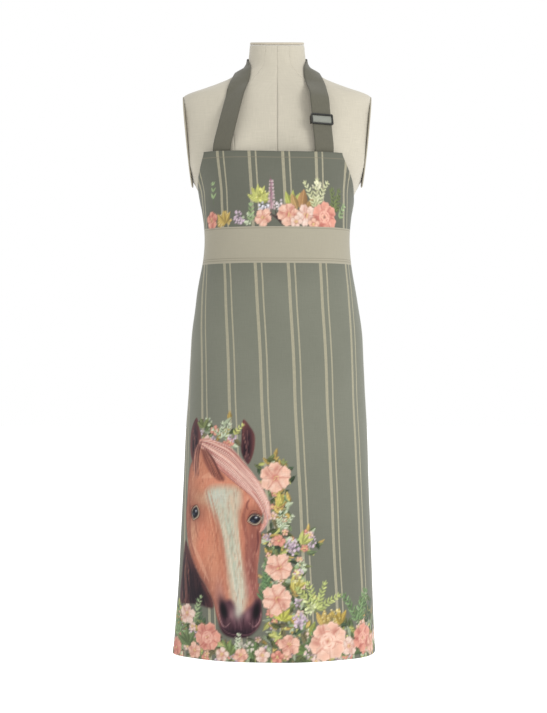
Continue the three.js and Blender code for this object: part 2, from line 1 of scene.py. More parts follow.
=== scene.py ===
"""A long printed bib apron worn by a linen-covered dress-form torso.

Shapes are worked out in millimetres in the CAD frame (+Z up, the front faces -Y),
and each mesh is written in metres. A turn is an angle round the body in degrees:
0 at the centre front, 90 at the right side and 180 at the centre back.
"""

import math

import bpy
import numpy as np
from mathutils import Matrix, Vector


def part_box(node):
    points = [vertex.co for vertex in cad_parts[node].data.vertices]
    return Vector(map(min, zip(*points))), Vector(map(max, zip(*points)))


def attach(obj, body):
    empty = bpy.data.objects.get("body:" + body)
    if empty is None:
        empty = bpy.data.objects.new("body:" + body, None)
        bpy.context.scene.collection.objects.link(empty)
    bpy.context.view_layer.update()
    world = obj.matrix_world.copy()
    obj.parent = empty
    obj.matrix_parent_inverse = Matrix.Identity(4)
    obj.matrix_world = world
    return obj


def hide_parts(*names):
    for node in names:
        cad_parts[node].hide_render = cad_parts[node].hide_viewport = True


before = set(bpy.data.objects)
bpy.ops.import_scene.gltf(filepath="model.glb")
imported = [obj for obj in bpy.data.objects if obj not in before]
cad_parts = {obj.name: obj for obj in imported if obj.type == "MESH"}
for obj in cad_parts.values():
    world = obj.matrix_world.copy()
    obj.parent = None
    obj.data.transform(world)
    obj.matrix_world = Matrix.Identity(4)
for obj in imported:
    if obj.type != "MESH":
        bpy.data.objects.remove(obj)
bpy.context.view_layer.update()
MM = 0.001

# ---------------------------------------------------------------- driving sizes

HEM_Z = round(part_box("apron_panel")[0][2] / MM)
BIB_TOP_Z = round(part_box("apron_panel")[1][2] / MM)
BASE_Z = 0
HIP_Z = 70
WAIST_Z = 264
BUST_Z = 415
SHOULDER_Z = 548
NECK_BASE_Z = 602
NECK_TOP_Z = 650

HIP_HALF = 166
WAIST_HALF = HIP_HALF - 28
CHEST_HALF = 195
NECK_HALF = 54
HIP_FRONT = 105
WAIST_FRONT = 86
BUST_FRONT = 120
NECK_FRONT = 50
HIP_BACK = 121
WAIST_BACK = 80
SHOULDER_BACK = 106
NECK_BACK = 56
BUST_BUMP = 18
BUST_SPREAD = 80
FULLNESS = 2.3
NECK_TOP_TILT = math.tan(math.radians(11))

ARMHOLE_HALF = 170.5
ARMHOLE_SLOPE = 0.0985
ARMHOLE_REACH = 86
ARMHOLE_DEPTH = 56
ARMHOLE_Z = 459
ARMHOLE_Y = -4
PLATE_THICKNESS = 2.5
PIPING_RADIUS = 1.3
CLEARANCE = 0.35

TIE_Z = 252
TIE_MIDDLE = TIE_Z - 22
SKIRT_HALF = 320
BIB_HALF = 137
BIB_CURVE = 1.35
BIB_SHIFT = -10
SKIRT_SHIFT = -3
CLOTH_THICKNESS = 1.6
HEM_FLARE = 27
WEBBING_WIDTH = 38
WEBBING_THICKNESS = 1.6

# ---------------------------------------------------------------- body surfaces


def profile(*pairs):
    """A smooth curve through (position, value) pairs that never overshoots them."""
    x = np.array([p[0] for p in pairs], float)
    y = np.array([p[1] for p in pairs], float)
    slope = np.diff(y) / np.diff(x)
    before = np.concatenate([slope[:1], slope])
    after = np.concatenate([slope, slope[-1:]])
    product = before * after
    total = np.where(product > 0, before + after, 1)
    tangent = np.where(product > 0, 2 * product / total, 0)

    def value(at):
        at = np.clip(np.asarray(at, float), x[0], x[-1])
        i = np.clip(np.searchsorted(x, at, side="right") - 1, 0, len(x) - 2)
        span = x[i + 1] - x[i]
        s = (at - x[i]) / span
        return (
            (1 + 2 * s) * (1 - s) ** 2 * y[i]
            + s * (1 - s) ** 2 * span * tangent[i]
            + s * s * (3 - 2 * s) * y[i + 1]
            + s * s * (s - 1) * span * tangent[i + 1]
        )

    return value


half_width = profile(
    (BASE_Z, HIP_HALF), (HIP_Z, HIP_HALF - 2), (150, WAIST_HALF + 16), (WAIST_Z, WAIST_HALF),
    (346, WAIST_HALF + 10), (385, CHEST_HALF - 29), (BUST_Z, CHEST_HALF - 14),
    (500, CHEST_HALF), (535, CHEST_HALF - 3), (SHOULDER_Z, CHEST_HALF - 13),
    (553, CHEST_HALF - 23), (561, CHEST_HALF - 47), (571, CHEST_HALF - 75),
    (582, CHEST_HALF - 101), (592, NECK_HALF + 25), (NECK_BASE_Z, NECK_HALF + 9),
    (614, NECK_HALF + 3), (NECK_TOP_Z, NECK_HALF - 1),
)
front_depth = profile(
    (BASE_Z, HIP_FRONT), (HIP_Z, HIP_FRONT + 3), (150, HIP_FRONT - 2), (WAIST_Z, WAIST_FRONT),
    (330, BUST_FRONT - 22), (370, BUST_FRONT - 6), (BUST_Z, BUST_FRONT), (460, BUST_FRONT - 8),
    (500, BUST_FRONT - 22), (SHOULDER_Z, NECK_FRONT + 27), (571, NECK_FRONT + 15),
    (592, NECK_FRONT + 6), (NECK_BASE_Z, NECK_FRONT + 3), (NECK_TOP_Z, NECK_FRONT - 1),
)
back_depth = profile(
    (BASE_Z, HIP_BACK - 8), (HIP_Z, HIP_BACK), (120, HIP_BACK - 3), (WAIST_Z, WAIST_BACK),
    (340, SHOULDER_BACK - 14), (430, SHOULDER_BACK), (500, SHOULDER_BACK - 2),
    (SHOULDER_Z, NECK_BACK + 36), (571, NECK_BACK + 22), (592, NECK_BACK + 11),
    (NECK_BASE_Z, NECK_BACK + 6), (NECK_TOP_Z, NECK_BACK - 1),
)
side_ease = profile(
    (HEM_Z, HEM_FLARE), (-125, 13), (BASE_Z, 6), (HIP_Z, 4.5), (150, 4.5), (BIB_TOP_Z, 5),
)
front_ease = profile(
    (HEM_Z, HEM_FLARE), (-300, 26), (-100, 24), (BASE_Z, 20), (60, 14), (120, 10), (190, 9),
    (WAIST_Z, 10), (320, 18), (370, 27), (BUST_Z, 30), (BIB_TOP_Z + 14, 31),
)
back_ease = profile(
    (HEM_Z, 12), (BASE_Z, 10), (60, 8), (WAIST_Z, 7.5), (BIB_TOP_Z, 7),
)


def section_point(turn, half, front, back):
    """x and y on a rounded section of the body."""
    angle = np.radians(turn)
    power = 2 / FULLNESS
    along = np.abs(np.sin(angle)) ** power * np.sign(np.sin(angle))
    across = np.abs(np.cos(angle)) ** power * np.sign(np.cos(angle))
    return half * along, -across * np.where(across > 0, front, back)


def armhole_x(z):
    """The plane of the armhole plates' outer faces."""
    return ARMHOLE_HALF + ARMHOLE_SLOPE * (z - 405)


def form_point(turn, z):
    """The torso's linen surface."""
    turn, z = np.broadcast_arrays(np.asarray(turn, float), np.asarray(z, float))
    wide, deep = section_point(turn, half_width(z), front_depth(z), back_depth(z))
    flat = armhole_x(z) - PLATE_THICKNESS - CLEARANCE
    side = np.where(z > ARMHOLE_Z - ARMHOLE_REACH - 20, flat, HIP_HALF)
    bump = BUST_BUMP * np.exp(
        -(((np.abs(wide) - BUST_SPREAD) / 45) ** 2) - ((z - BUST_Z) / 55) ** 2
    )
    y = np.where(deep < 0, deep - bump, deep)
    rise = np.clip((z - NECK_BASE_Z) / (NECK_TOP_Z - NECK_BASE_Z), 0, 1)
    return np.stack([np.clip(wide, -side, side), y, z + rise * NECK_TOP_TILT * y], -1)


def cloth_point(turn, z):
    """The outer face of the apron cloth."""
    turn, z = np.broadcast_arrays(np.asarray(turn, float), np.asarray(z, float))
    half = half_width(z) + side_ease(z)
    front = front_depth(z) + front_ease(z)
    x, y = section_point(turn, half, front, back_depth(z) + back_ease(z))
    return np.stack([x, y, z], -1)


def unit(vectors):
    """Vectors at length one."""
    length = np.linalg.norm(vectors, axis=-1, keepdims=True)
    return vectors / np.maximum(length, 1e-9)


def surface_normal(surface, turn, z, low=-1e6, high=1e6):
    """The outward normal of a surface of turn and height."""
    around = surface(turn + 0.6, z) - surface(turn - 0.6, z)
    up = surface(turn, np.minimum(z + 1, high)) - surface(turn, np.maximum(z - 1, low))
    return unit(np.cross(around, up))


def form_lifted(turn, z, lift):
    """The torso's surface moved out along its normal."""
    turn, z = np.broadcast_arrays(np.asarray(turn, float), np.asarray(z, float))
    normal = surface_normal(form_point, turn, z, BASE_Z, NECK_TOP_Z)
    return form_point(turn, z) + normal * np.asarray(lift)[..., None]


# ---------------------------------------------------------------- mesh building


def link(obj):
    """Adds an object to the scene."""
    bpy.context.scene.collection.objects.link(obj)
    return obj


def new_mesh(name, points, faces, material, smooth=True, flat=None):
    """A mesh object from points in millimetres. flat is each point's place on its cut cloth."""
    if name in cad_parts:
        name += "_visual"
    mesh = bpy.data.meshes.new(name)
    mesh.from_pydata((np.asarray(points, float) * MM).tolist(), [], faces)
    mesh.polygons.foreach_set("use_smooth", [smooth] * len(mesh.polygons))
    if flat is not None:
        layer = mesh.attributes.new("flat", "FLOAT_VECTOR", "POINT")
        layer.data.foreach_set("vector", np.asarray(flat, float).ravel())
    mesh.materials.append(material)
    mesh.update()
    return link(bpy.data.objects.new(name, mesh))


def slab_faces(rows, columns):
    """Faces of the closed solid between two grids, outer points first."""
    faces = []

    def at(side, i, j):
        return (side * rows + i) * columns + j

    for i in range(rows - 1):
        for j in range(columns - 1):
            faces.append((at(0, i, j), at(0, i, j + 1), at(0, i + 1, j + 1), at(0, i + 1, j)))
            faces.append((at(1, i, j), at(1, i + 1, j), at(1, i + 1, j + 1), at(1, i, j + 1)))
        last = columns - 1
        faces.append((at(0, i, 0), at(0, i + 1, 0), at(1, i + 1, 0), at(1, i, 0)))
        faces.append((at(0, i, last), at(1, i, last), at(1, i + 1, last), at(0, i + 1, last)))
    for j in range(columns - 1):
        last = rows - 1
        faces.append((at(0, 0, j), at(1, 0, j), at(1, 0, j + 1), at(0, 0, j + 1)))
        faces.append((at(0, last, j), at(0, last, j + 1), at(1, last, j + 1), at(1, last, j)))
    return faces


def slab(name, outer, inner, material, flat=None):
    """The closed solid between two grids of points."""
    rows, columns = outer.shape[:2]
    points = np.concatenate([outer.reshape(-1, 3), inner.reshape(-1, 3)])
    both = None if flat is None else np.concatenate([flat.reshape(-1, 3)] * 2)
    obj = new_mesh(name, points, slab_faces(rows, columns), material, flat=both)
    face_out(obj)
    return obj


def face_out(obj):
    """Turns a closed mesh so that its faces point out."""
    mesh = obj.data
    points = np.empty(len(mesh.vertices) * 3)
    mesh.vertices.foreach_get("co", points)
    points = points.reshape(-1, 3)
    mesh.calc_loop_triangles()
    corners = np.empty(len(mesh.loop_triangles) * 3, np.int32)
    mesh.loop_triangles.foreach_get("vertices", corners)
    a, b, c = (points[corners[i::3]] for i in range(3))
    if np.einsum("ij,ij->i", a, np.cross(b, c)).sum() < 0:
        mesh.flip_normals()


def modify(obj, kind, **settings):
    """Adds a modifier with settings."""
    modifier = obj.modifiers.new(kind.lower(), kind)
    for key, value in settings.items():
        setattr(modifier, key, value)
    return modifier

# ---------------------------------------------------------------- materials


class Nodes:
    """A short way to write a material's nodes."""

    def __init__(self, name):
        self.material = bpy.data.materials.new(name)
        self.material.use_nodes = True
        self.tree = self.material.node_tree
        self.shader = self.tree.nodes["Principled BSDF"]

    def add(self, kind, **settings):
        node = self.tree.nodes.new(kind)
        for key, value in settings.items():
            setattr(node, key, value)
        return node

    def wire(self, source, target):
        self.tree.links.new(source, target)

    def math(self, operation, first, second=0.0, third=None):
        node = self.add("ShaderNodeMath", operation=operation)
        values = [first, second] if third is None else [first, second, third]
        for socket, value in zip(node.inputs, values):
            if isinstance(value, (int, float)):
                socket.default_value = value
            else:
                self.wire(value, socket)
        return node.outputs[0]

    def mix(self, factor, first, second):
        node = self.add("ShaderNodeMix", data_type="RGBA")
        for socket, value in zip((node.inputs[0], node.inputs[6], node.inputs[7]),
                                 (factor, first, second)):
            if isinstance(value, (int, float, tuple)):
                socket.default_value = value
            else:
                self.wire(value, socket)
        return node.outputs[2]

    def place(self, attribute=None):
        """A flat place from a mesh attribute, or else the object's own coordinates."""
        if attribute:
            return self.add("ShaderNodeAttribute", attribute_name=attribute).outputs["Vector"]
        return self.add("ShaderNodeTexCoord").outputs["Object"]

    def noise(self, place, scale, stretch=(1, 1, 1), detail=3.0, roughness=0.55):
        mapping = self.add("ShaderNodeMapping")
        mapping.inputs["Scale"].default_value = stretch
        self.wire(place, mapping.inputs["Vector"])
        node = self.add("ShaderNodeTexNoise")
        node.inputs["Scale"].default_value = scale
        node.inputs["Detail"].default_value = detail
        node.inputs["Roughness"].default_value = roughness
        self.wire(mapping.outputs["Vector"], node.inputs["Vector"])
        return node.outputs["Fac"]

    def bump(self, height, strength, distance):
        node = self.add("ShaderNodeBump")
        node.inputs["Strength"].default_value = strength
        node.inputs["Distance"].default_value = distance
        self.wire(height, node.inputs["Height"])
        self.wire(node.outputs["Normal"], self.shader.inputs["Normal"])

    def tint(self, colour, amount, by):
        """A colour made darker and lighter by a noise."""
        dark = tuple(c * (1 - amount) for c in colour[:3]) + (1,)
        light = tuple(min(c * (1 + amount), 1) for c in colour[:3]) + (1,)
        return self.mix(by, dark, light)


def linear(red, green, blue):
    """An sRGB colour given in 0 to 255, as a linear RGBA colour."""
    channels = [c / 255 for c in (red, green, blue)]
    return tuple(
        c / 12.92 if c <= 0.04045 else ((c + 0.055) / 1.055) ** 2.4 for c in channels
    ) + (1.0,)


# Attribute "flat" is in metres, so a thread pattern keeps its scale on every piece.
def woven(name, colour, thread=0.0011, slub=0.12, rough=0.88, sheen=0.25, place="flat",
          depth=0.0003):
    """Plain woven cloth: crossing threads with uneven, thicker slubs."""
    nodes = Nodes(name)
    at = nodes.place(place)
    warp = nodes.noise(at, 1 / thread, (1, 0.05, 1), 2.0)
    weft = nodes.noise(at, 1 / thread, (0.05, 1, 1), 2.0)
    broad = nodes.noise(at, 14, detail=2.0)
    threads = nodes.math("MULTIPLY_ADD", nodes.math("ADD", warp, weft), 0.42,
                         nodes.math("MULTIPLY", broad, 0.16))
    spread = nodes.add("ShaderNodeMapRange")
    spread.inputs["From Min"].default_value = 0.3
    spread.inputs["From Max"].default_value = 0.7
    nodes.wire(threads, spread.inputs["Value"])
    by = spread.outputs["Result"]
    nodes.wire(nodes.tint(colour, slub, by), nodes.shader.inputs["Base Color"])
    nodes.shader.inputs["Roughness"].default_value = rough
    nodes.shader.inputs["Sheen Weight"].default_value = sheen
    nodes.shader.inputs["Sheen Roughness"].default_value = 0.5
    nodes.shader.inputs["Specular IOR Level"].default_value = 0.2
    nodes.bump(threads, 0.5, depth)
    return nodes.material


def webbing_material(name, colour):
    """Woven webbing: fine ribs across, slightly darker selvedges and uneven yarn."""
    nodes = Nodes(name)
    at = nodes.place("flat")
    split = nodes.add("ShaderNodeSeparateXYZ")
    nodes.wire(at, split.inputs[0])
    ribs = nodes.math("SINE", nodes.math("MULTIPLY", split.outputs["Y"], 2 * math.pi / 0.0016))
    cords = nodes.math("SINE", nodes.math("MULTIPLY", split.outputs["X"], 2 * math.pi / 0.0024))
    height = nodes.math("MULTIPLY", nodes.math("MULTIPLY_ADD", ribs, 0.5, cords), 0.4)
    yarn = nodes.noise(at, 420, (1, 0.3, 1), 3.0)
    edge = nodes.math("ABSOLUTE", split.outputs["X"])
    selvedge = nodes.math("GREATER_THAN", edge, WEBBING_WIDTH * MM / 2 - 0.0016)
    by = nodes.math("MULTIPLY_ADD", height, 0.12, yarn)
    base = nodes.tint(colour, 0.16, by)
    dark = tuple(c * 0.72 for c in colour[:3]) + (1,)
    nodes.wire(nodes.mix(nodes.math("MULTIPLY", selvedge, 0.6), base, dark),
               nodes.shader.inputs["Base Color"])
    nodes.shader.inputs["Roughness"].default_value = 0.82
    nodes.shader.inputs["Sheen Weight"].default_value = 0.2
    nodes.shader.inputs["Specular IOR Level"].default_value = 0.25
    nodes.bump(height, 0.5, 0.0004)
    return nodes.material


def metal_material(name, colour, rough, wear, metallic=1.0):
    """Metal with a worn finish: lighter and smoother in small patches."""
    nodes = Nodes(name)
    at = nodes.place()
    patches = nodes.noise(at, 260, detail=4.0)
    fine = nodes.noise(at, 1400, (1, 1, 0.2), 2.0)
    nodes.wire(nodes.tint(colour, wear, patches), nodes.shader.inputs["Base Color"])
    finish = nodes.add("ShaderNodeMapRange")
    finish.inputs["To Min"].default_value = rough * 0.75
    finish.inputs["To Max"].default_value = min(rough * 1.3, 1)
    nodes.wire(fine, finish.inputs["Value"])
    nodes.wire(finish.outputs["Result"], nodes.shader.inputs["Roughness"])
    nodes.shader.inputs["Metallic"].default_value = metallic
    nodes.bump(fine, 0.15, 0.0002)
    return nodes.material


def plywood_material():
    """Sanded plywood: long grain on the faces."""
    nodes = Nodes("plywood")
    at = nodes.place()
    grain = nodes.noise(at, 60, (0.12, 2.4, 12), 4.0)
    rings = nodes.noise(at, 16, (0.2, 3.0, 20), 2.0)
    by = nodes.math("MULTIPLY_ADD", grain, 0.6, nodes.math("MULTIPLY", rings, 0.4))
    nodes.wire(nodes.tint(linear(187, 152, 108), 0.3, by), nodes.shader.inputs["Base Color"])
    nodes.shader.inputs["Roughness"].default_value = 0.62
    nodes.bump(grain, 0.3, 0.0004)
    return nodes.material


def shell_material():
    """Glass-fibre shell: mottled resin with a coarse mat."""
    nodes = Nodes("shell")
    at = nodes.place()
    mat = nodes.noise(at, 90, detail=5.0, roughness=0.7)
    nodes.wire(nodes.tint(linear(186, 172, 140), 0.25, mat), nodes.shader.inputs["Base Color"])
    nodes.shader.inputs["Roughness"].default_value = 0.5
    nodes.bump(mat, 0.5, 0.0006)
    return nodes.material


linen = woven("linen", linear(172, 166, 151), thread=0.0013, slub=0.1, depth=0.0004)
linen_cap = woven("linen_cap", linear(170, 162, 145), thread=0.0013, slub=0.09, place=None)
piping = woven("piping", linear(150, 144, 128), thread=0.0010, slub=0.15, place=None)
webbing = webbing_material("webbing", linear(84, 82, 70))
# A lighter copy of the webbing for the strap in the slider's window: painted light.
webbing_painted_light = webbing_material("webbing_painted_light", linear(122, 124, 116))
gunmetal = metal_material("gunmetal", linear(44, 44, 42), 0.38, 0.35, 0.7)
steel = metal_material("steel", linear(168, 166, 160), 0.34, 0.18)
plywood = plywood_material()
shell_finish = shell_material()

# ---------------------------------------------------------------- camera, light, stage

LENS = 79.86
CAMERA_SIDE = -7
CAMERA_DISTANCE = 3.1
CAMERA_HEIGHT = 0.04
FLOOR_DROP = 0.9


def look(place, target):
    """The turn that points a light at a place."""
    direction = np.array(target, float) - np.array(place, float)
    return Vector(direction).to_track_quat("-Z", "Y").to_euler()


def make_camera():
    """A level camera in front of the apron, at the height of the hips."""
    data = bpy.data.cameras.new("camera")
    data.sensor_width = 36
    data.lens = LENS
    camera = link(bpy.data.objects.new("camera", data))
    camera.location = (CAMERA_SIDE * MM, -CAMERA_DISTANCE, CAMERA_HEIGHT)
    camera.rotation_euler = (math.pi / 2, 0, 0)
    bpy.context.scene.camera = camera


def area_light(name, place, target, size, watts, colour=(1, 1, 1)):
    """A soft light that looks at a place."""
    data = bpy.data.lights.new(name, "AREA")
    data.shape = "DISK"
    data.size = size
    data.energy = watts
    data.color = colour
    light = link(bpy.data.objects.new(name, data))
    light.location = place
    light.rotation_euler = look(place, target)


def make_stage():
    """A pale floor far below the hem and an even pale surround."""
    floor_z = HEM_Z * MM - FLOOR_DROP
    size = 30
    mesh = bpy.data.meshes.new("floor")
    corners = [(-size, -size, floor_z), (size, -size, floor_z), (size, size, floor_z),
               (-size, size, floor_z)]
    mesh.from_pydata(corners, [], [(0, 1, 2, 3)])
    nodes = Nodes("floor")
    nodes.shader.inputs["Base Color"].default_value = (0.9, 0.9, 0.9, 1)
    nodes.shader.inputs["Emission Color"].default_value = (1, 1, 1, 1)
    nodes.shader.inputs["Emission Strength"].default_value = 0.5
    nodes.shader.inputs["Roughness"].default_value = 0.9
    mesh.materials.append(nodes.material)
    link(bpy.data.objects.new("floor", mesh))
    world = bpy.data.worlds.new("surround")
    world.use_nodes = True
    world.node_tree.nodes["Background"].inputs["Color"].default_value = (1, 1, 1, 1)
    world.node_tree.nodes["Background"].inputs["Strength"].default_value = 1.0
    bpy.context.scene.world = world
    bpy.context.scene.view_settings.view_transform = "Standard"
    centre = (0, 0, 0.05)
    area_light("key", (2.3, -2.2, 1.5), centre, 1.4, 62)
    area_light("fill", (-2.2, -2.4, 0.6), centre, 2.0, 6)


make_camera()
make_stage()

# ---------------------------------------------------------------- torso


def dense(levels, step):
    """Heights through a list of levels, no further apart than a step."""
    heights = [levels[0]]
    for low, high in zip(levels, levels[1:]):
        count = max(1, math.ceil((high - low) / step))
        heights += [low + (high - low) * i / count for i in range(1, count + 1)]
    return np.array(heights)


FORM_HEIGHTS = np.concatenate([
    dense([BASE_Z + 0.2, 3, SHOULDER_Z - 8], 8), dense([SHOULDER_Z - 8, NECK_TOP_Z], 2.2)[1:]
])
PRINCESS = 22.5
SEAM_GAP = 0.015
SEAM_DEPTH = 0.35
PUCKER = 0.25
LINEN_PANELS = {
    "front": (0, PRINCESS), "side_front": (PRINCESS, 90),
    "side_back": (90, 180 - PRINCESS), "back": (180 - PRINCESS, 180),
}
COVER_THICKNESS = 1.5


def arc_lengths(points):
    """How far each column of a grid lies along its row, from the row's middle."""
    steps = np.linalg.norm(np.diff(points, axis=1), axis=-1)
    run = np.concatenate([np.zeros((len(points), 1)), np.cumsum(steps, 1)], 1)
    return run - run[:, [run.shape[1] // 2]]


def flat_places(points, heights):
    """Places on the cut cloth in metres: along the row, and up."""
    along = arc_lengths(points)
    up = np.broadcast_to(np.asarray(heights, float)[:, None], along.shape)
    return np.stack([along, up, np.zeros_like(along)], -1) * MM


def linen_panel(name, start, end):
    """One linen panel, drawn in along its seams."""
    count = max(6, round((end - start) / 1.6))
    turns = np.linspace(start + SEAM_GAP, end - SEAM_GAP, count + 1)
    # Two extra columns close to each seam keep the drawn-in edge narrow.
    extra = [start + 0.5, start + 1.1, end - 1.1, end - 0.5]
    turns = np.unique(np.concatenate([turns, extra]))
    grid_turn, grid_z = np.meshgrid(turns, FORM_HEIGHTS)
    seam = np.minimum(grid_turn - start, end - grid_turn)
    drawn = -SEAM_DEPTH * np.exp(-((seam / 0.55) ** 2))
    pucker = -PUCKER * np.exp(-((seam / 1.8) ** 2)) * np.sin(grid_z / 2.1)
    outer = form_lifted(grid_turn, grid_z, drawn + pucker)
    inner = form_lifted(grid_turn, grid_z, np.full_like(drawn, -COVER_THICKNESS))
    piece = slab(name, outer, inner, linen, flat_places(outer, FORM_HEIGHTS))
    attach(piece, "form")
    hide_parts(name)


for place, (start, end) in LINEN_PANELS.items():
    linen_panel(f"linen_{place}_right", start, end)
    linen_panel(f"linen_{place}_left", -end, -start)


def shell_half(name, start, end):
    """Half of the hollow shell under the linen."""
    turns = np.linspace(start + 0.12, end - 0.12, 61)
    heights = dense([BASE_Z, SHOULDER_Z - 8, NECK_TOP_Z - 0.5], 9)
    grid_turn, grid_z = np.meshgrid(turns, heights)
    outer = form_lifted(grid_turn, grid_z, np.full(grid_z.shape, -COVER_THICKNESS - 0.5))
    inner = form_lifted(grid_turn, grid_z, np.full(grid_z.shape, -COVER_THICKNESS - 4.3))
    piece = slab(name, outer, inner, shell_finish)
    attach(piece, "form")
    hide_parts(name)


shell_half("shell_front", -90, 90)
shell_half("shell_back", 90, 270)


def disc_solid(name, outline_at, levels, material, centre):
    """A closed solid of stacked outlines: outline_at(inset, z) gives each ring."""
    rings = [outline_at(inset, z) for inset, z in levels]
    count = len(rings[0])
    points = np.concatenate(rings + [np.array([centre(levels[0][1])]),
                                     np.array([centre(levels[-1][1])])])
    faces = []
    for i in range(len(rings) - 1):
        for j in range(count):
            k = (j + 1) % count
            a, b = i * count, (i + 1) * count
            faces.append((a + j, a + k, b + k, b + j))
    low, high = len(rings) * count, len(rings) * count + 1
    for j in range(count):
        k = (j + 1) % count
        faces.append((low, k, j))
        faces.append((high, (len(rings) - 1) * count + j, (len(rings) - 1) * count + k))
    obj = new_mesh(name, points, faces, material)
    face_out(obj)
    return obj


def rounded_levels(low, high, round_off):
    """Insets and heights of a disc with rounded rims."""
    turns = [math.radians(a) for a in range(0, 91, 18)]
    lower = [(round_off * (1 - math.sin(a)), low + round_off * (1 - math.cos(a)))
             for a in turns]
    upper = [(inset, high - (z - low)) for inset, z in reversed(lower)]
    return [(6, low)] + lower + upper + [(6, high)]


def neck_cap():
    """The linen-covered cap on the neck, tilted with the neck's end."""
    turns = np.arange(0, 360, 5)
    edge = form_lifted(turns, np.full(turns.shape, NECK_TOP_Z), np.zeros(turns.shape))

    def ring(inset, z):
        shrink = 1 - inset / NECK_HALF
        x, y = edge[:, 0] * shrink, edge[:, 1] * shrink
        return np.stack([x, y, NECK_TOP_Z + z + NECK_TOP_TILT * y], -1)

    piece = disc_solid("neck_cap", ring, rounded_levels(0.6, 5.6, 2.2), linen_cap,
                       lambda z: (0, 0, NECK_TOP_Z + z))
    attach(piece, "form")
    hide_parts("neck_cap")


def armhole(place, sign):
    """A linen-covered armhole plate and the piping round it."""
    turns = np.radians(np.arange(0, 360, 5))
    middle = armhole_x(ARMHOLE_Z) - PLATE_THICKNESS / 2

    def ring(inset, level):
        reach, depth = ARMHOLE_REACH - inset, ARMHOLE_DEPTH - inset
        y = ARMHOLE_Y + depth * np.cos(turns)
        z = ARMHOLE_Z + reach * np.sin(turns)
        x = middle + level + ARMHOLE_SLOPE * (z - ARMHOLE_Z)
        return np.stack([sign * x, y, z], -1)

    half = PLATE_THICKNESS / 2
    levels = rounded_levels(-half, half, 1.0)
    plate = disc_solid(f"armhole_plate_{place}", ring, levels, linen_cap,
                       lambda level: (sign * (middle + level), ARMHOLE_Y, ARMHOLE_Z))
    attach(plate, "form")
    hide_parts(f"armhole_plate_{place}")

    sides = 10
    rows = []
    for k in range(sides):
        angle = 2 * math.pi * k / sides
        rows.append(ring(-1.2 - PIPING_RADIUS * math.cos(angle),
                         -0.4 + PIPING_RADIUS * math.sin(angle)))
    points = np.stack(rows, 1).reshape(-1, 3)
    count = len(turns)
    faces = [
        (i * sides + k, (i + 1) % count * sides + k,
         (i + 1) % count * sides + (k + 1) % sides, i * sides + (k + 1) % sides)
        for i in range(count) for k in range(sides)
    ]
    cord = new_mesh(f"armhole_piping_{place}", points, faces, piping)
    face_out(cord)
    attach(cord, "form")


neck_cap()
armhole("left", -1)
armhole("right", 1)


def finish_hardware():
    """The base plate, socket and screws stay as they are, with softened edges."""
    finishes = {
        "base_plate": (plywood, 0.8), "pole_socket": (steel, 0.5), "clamp_screw": (gunmetal, 0.6),
        "slider_frame": (gunmetal, 0.5), "slider_bar": (gunmetal, 0.3),
    }
    finishes.update({f"flange_screw_{i}": (steel, 0.25) for i in range(1, 5)})
    for node, (material, bevel) in finishes.items():
        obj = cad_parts[node]
        obj.data.materials.clear()
        obj.data.materials.append(material)
        modify(obj, "BEVEL", width=bevel * MM, segments=2, angle_limit=math.radians(40))
        modify(obj, "WEIGHTED_NORMAL")


finish_hardware()

# ---------------------------------------------------------------- the printed design

# The print is drawn on the cloth in its own flat millimetres: along from the cloth's
# centre line, and up from the torso's base. Colours are sRGB, 0 to 255.

rng = np.random.default_rng(7)


def soft(distance, edge=1.6):
    """Cover from a signed distance: 1 inside and 0 outside, with a soft edge."""
    return np.clip(0.5 - distance / edge, 0, 1)


def smooth_outline(points, closed=True, steps=6):
    """A smooth curve through points."""
    p = np.array(points, float)
    if closed:
        before, after, later = np.roll(p, 1, 0), np.roll(p, -1, 0), np.roll(p, -2, 0)
    else:
        wide = np.concatenate([p[:1] * 2 - p[1:2], p, p[-1:] * 2 - p[-2:-1]])
        before, p, after, later = wide[:-3], wide[1:-2], wide[2:-1], wide[3:]
    t = (np.arange(steps) / steps)[None, :, None]
    a, b, c, d = (x[:, None, :] for x in (before, p, after, later))
    curve = 0.5 * (2 * b + (c - a) * t + (2 * a - 5 * b + 4 * c - d) * t**2
                   + (3 * b - a - 3 * c + d) * t**3)
    curve = curve.reshape(-1, 2)
    return curve if closed else np.concatenate([curve, np.array(points[-1:], float)])


def to_segments(u, z, line, closed):
    """The distance to a line of points, and how far along it the nearest place is."""
    start = line if closed else line[:-1]
    stop = np.roll(line, -1, 0) if closed else line[1:]
    best = np.full(u.shape, 1e9)
    share = np.zeros(u.shape)
    for i, (a, b) in enumerate(zip(start, stop)):
        way = b - a
        size = max(float(way @ way), 1e-9)
        t = np.clip(((u - a[0]) * way[0] + (z - a[1]) * way[1]) / size, 0, 1)
        d = np.hypot(u - a[0] - t * way[0], z - a[1] - t * way[1])
        nearer = d < best
        best = np.where(nearer, d, best)
        share = np.where(nearer, (i + t) / len(start), share)
    return best, share


def outline_distance(u, z, line):
    """Signed distance to a closed outline, negative inside."""
    best, _ = to_segments(u, z, line, True)
    inside = np.zeros(u.shape, bool)
    for (au, az), (bu, bz) in zip(line, np.roll(line, -1, 0)):
        crosses = (az > z) != (bz > z)
        rise = bz - az if abs(bz - az) > 1e-9 else 1e-9
        inside ^= crosses & (u < (bu - au) * (z - az) / rise + au)
    return np.where(inside, -best, best)


